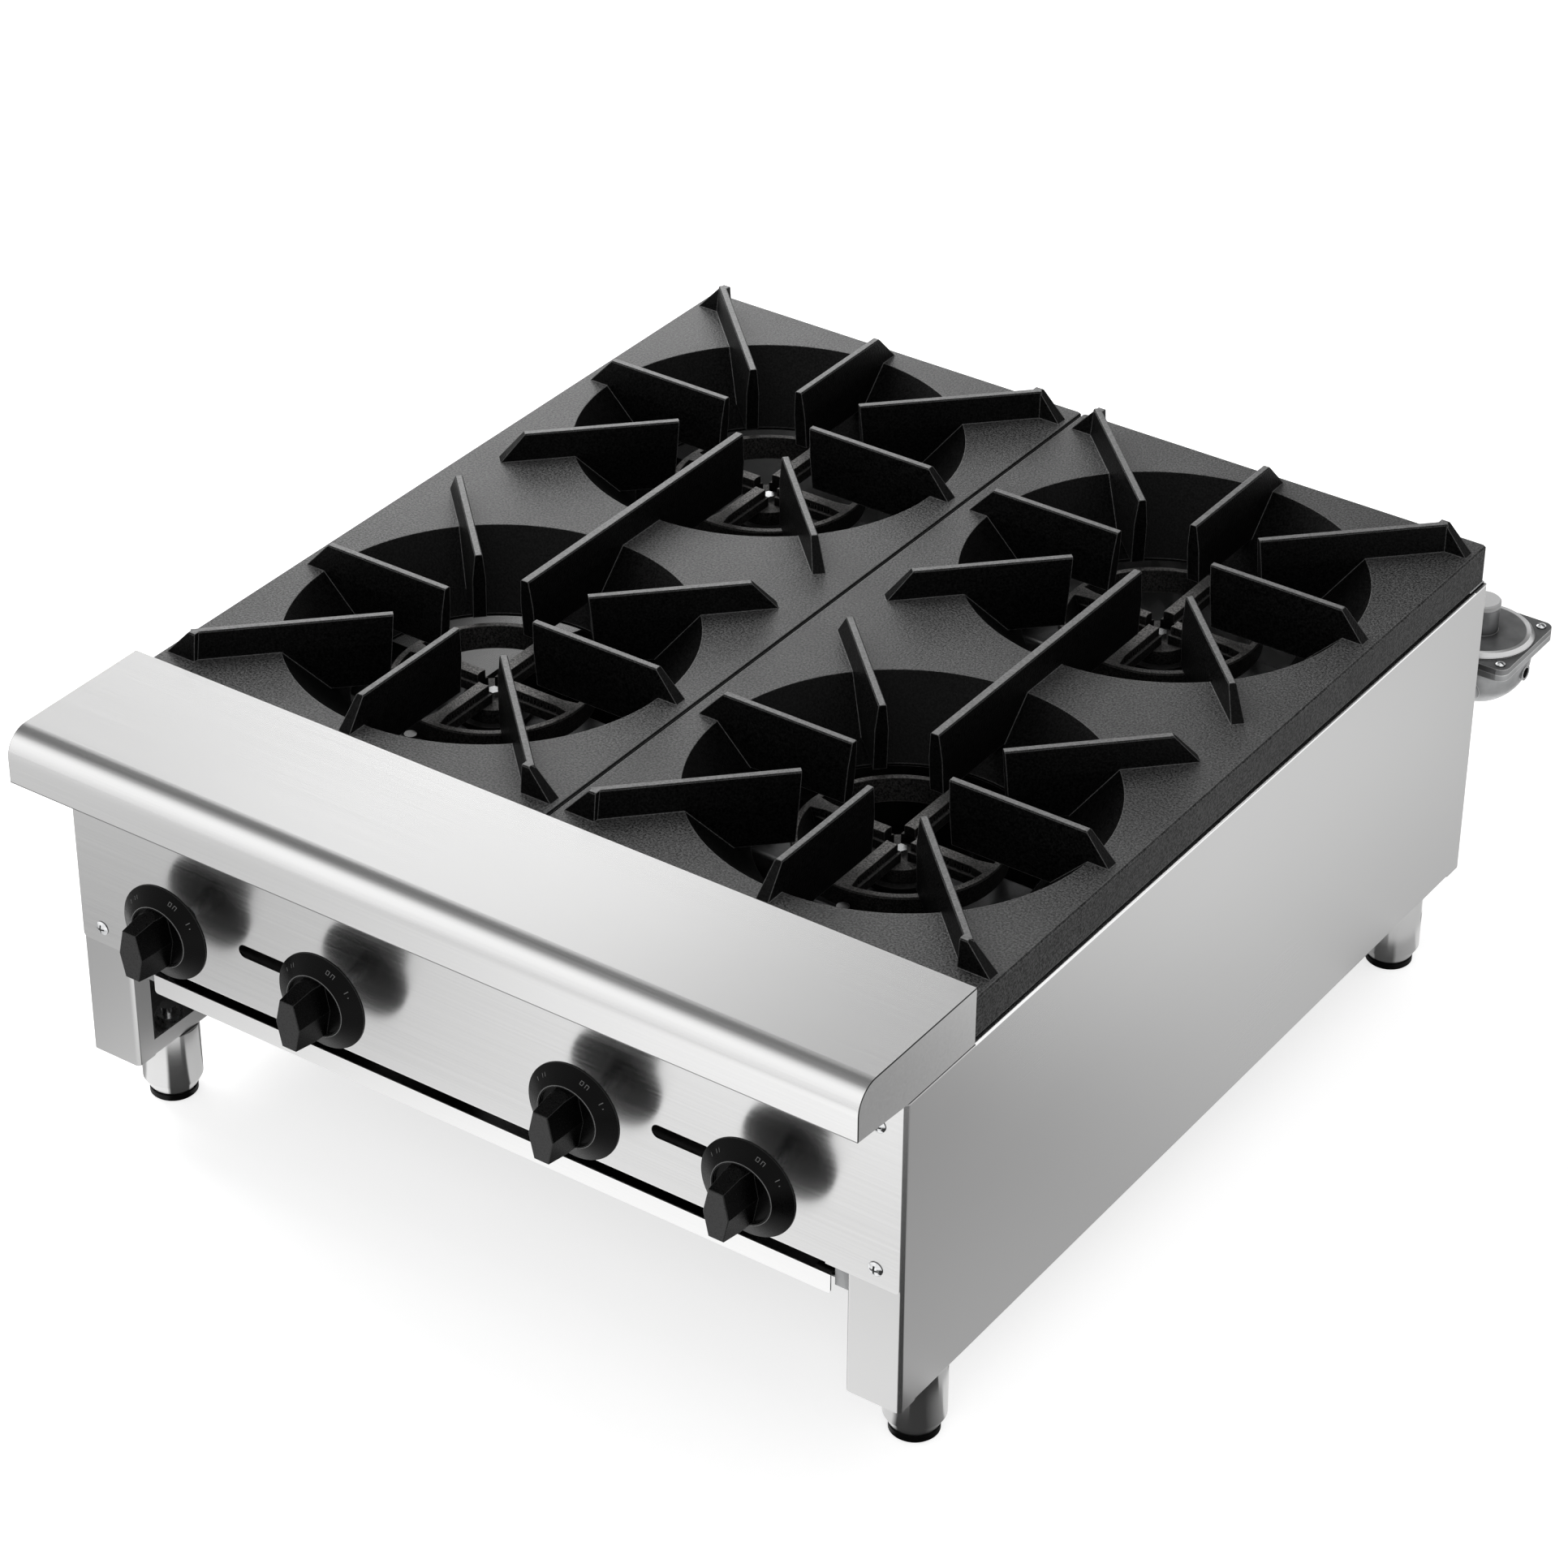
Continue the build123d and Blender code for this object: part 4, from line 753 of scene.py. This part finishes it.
# Leg cards: a small round card under each leg that shows, with bands that stand up and down the
# polished tube. Each has its radius, and levels by the angle from the front towards the right.
leg_bands = {
    "leg_front_left": (0.08, (-62, 0.45), (-48, 1.1), (22, 1.1), (32, 0.06), (88, 0.06),
                       (94, 0.7), (166, 0.62), (172, 0.08)),
    "leg_front_right": (0.062, (-96, 0.85), (-33, 0.85), (-16, 0.05), (62, 0.05), (120, 0.3),
                        (130, 0.8), (180, 0.8)),
    "leg_rear_right": (0.054, (-77, 0.3), (-24, 0.3), (-18, 0.07), (38, 0.09), (50, 0.35),
                       (118, 0.48), (126, 0.8), (180, 0.8))}
for name, (card_r, *bands) in leg_bands.items():
    low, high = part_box(name)
    leg_x, leg_y = (low[0] + high[0]) / 2, (low[1] + high[1]) / 2
    reach, around = np.meshgrid(np.linspace(0.012, card_r, 4),
                                np.radians(np.linspace(-179.9, 180, 181)))
    card(f"{name}_card", leg_x + reach * np.sin(around), leg_y - reach * np.cos(around),
         lambda x, y: np.interp(np.degrees(np.arctan2(x - leg_x, leg_y - y)), *zip(*bands)),
         2 * card_z)


# Lamps: two large soft lamps, the stronger at the left over the object and the other in front
# on the right. Polished metal doesn't see them, since the cards stand for them there.
def soft_lamp(name, spot, aim, size, power):
    """A square lamp at a spot, turned so that its face looks at the aim."""
    light = bpy.data.lights.new(name, "AREA")
    light.shape = "SQUARE"
    light.size = size
    light.energy = power
    lamp = place_in_scene(name, light)
    aimed = np.array(aim, float) - np.array(spot, float)
    aimed /= np.linalg.norm(aimed)
    side = np.cross(aimed, (0, 0, 1))
    side /= np.linalg.norm(side)
    turn = np.eye(4)
    turn[:3, 0] = side
    turn[:3, 1] = np.cross(side, aimed)
    turn[:3, 2] = -aimed
    turn[:3, 3] = spot
    lamp.matrix_world = turn.T.tolist()
    lamp.visible_glossy = lamp.visible_camera = False


soft_lamp("key_lamp", spot=(-1.15, 0.2, 1.25), aim=(0, 0, 0.25), size=1.2, power=19)
soft_lamp("fill_lamp", spot=(1.2, -2.6, 2.4), aim=(0, 0, 0.2), size=1.6, power=16)

# Camera: the photograph's own place, turn and lens, on a square picture. The rows say where the
# picture's right, down and depth point.
lens = bpy.data.cameras.new("view")
lens.sensor_width = 36.0
lens.sensor_height = 36.0
lens.lens = 106.705
lens.clip_end = 200.0
camera = place_in_scene("view", lens)
rows = np.array([[0.82206718, 0.56935683, 0.00619243], [0.31723789, -0.44895934, -0.83534163],
                 [-0.47282731, 0.68867141, -0.5496963]])
camera_spot = (1.38723, -2.06674, 1.80614)
seat = np.eye(4)
seat[:3, 0] = rows[0]
seat[:3, 1] = -rows[1]
seat[:3, 2] = -rows[2]
seat[:3, 3] = camera_spot
camera.matrix_world = seat.T.tolist()
bpy.context.scene.camera = camera
bpy.context.scene.view_settings.view_transform = "Standard"
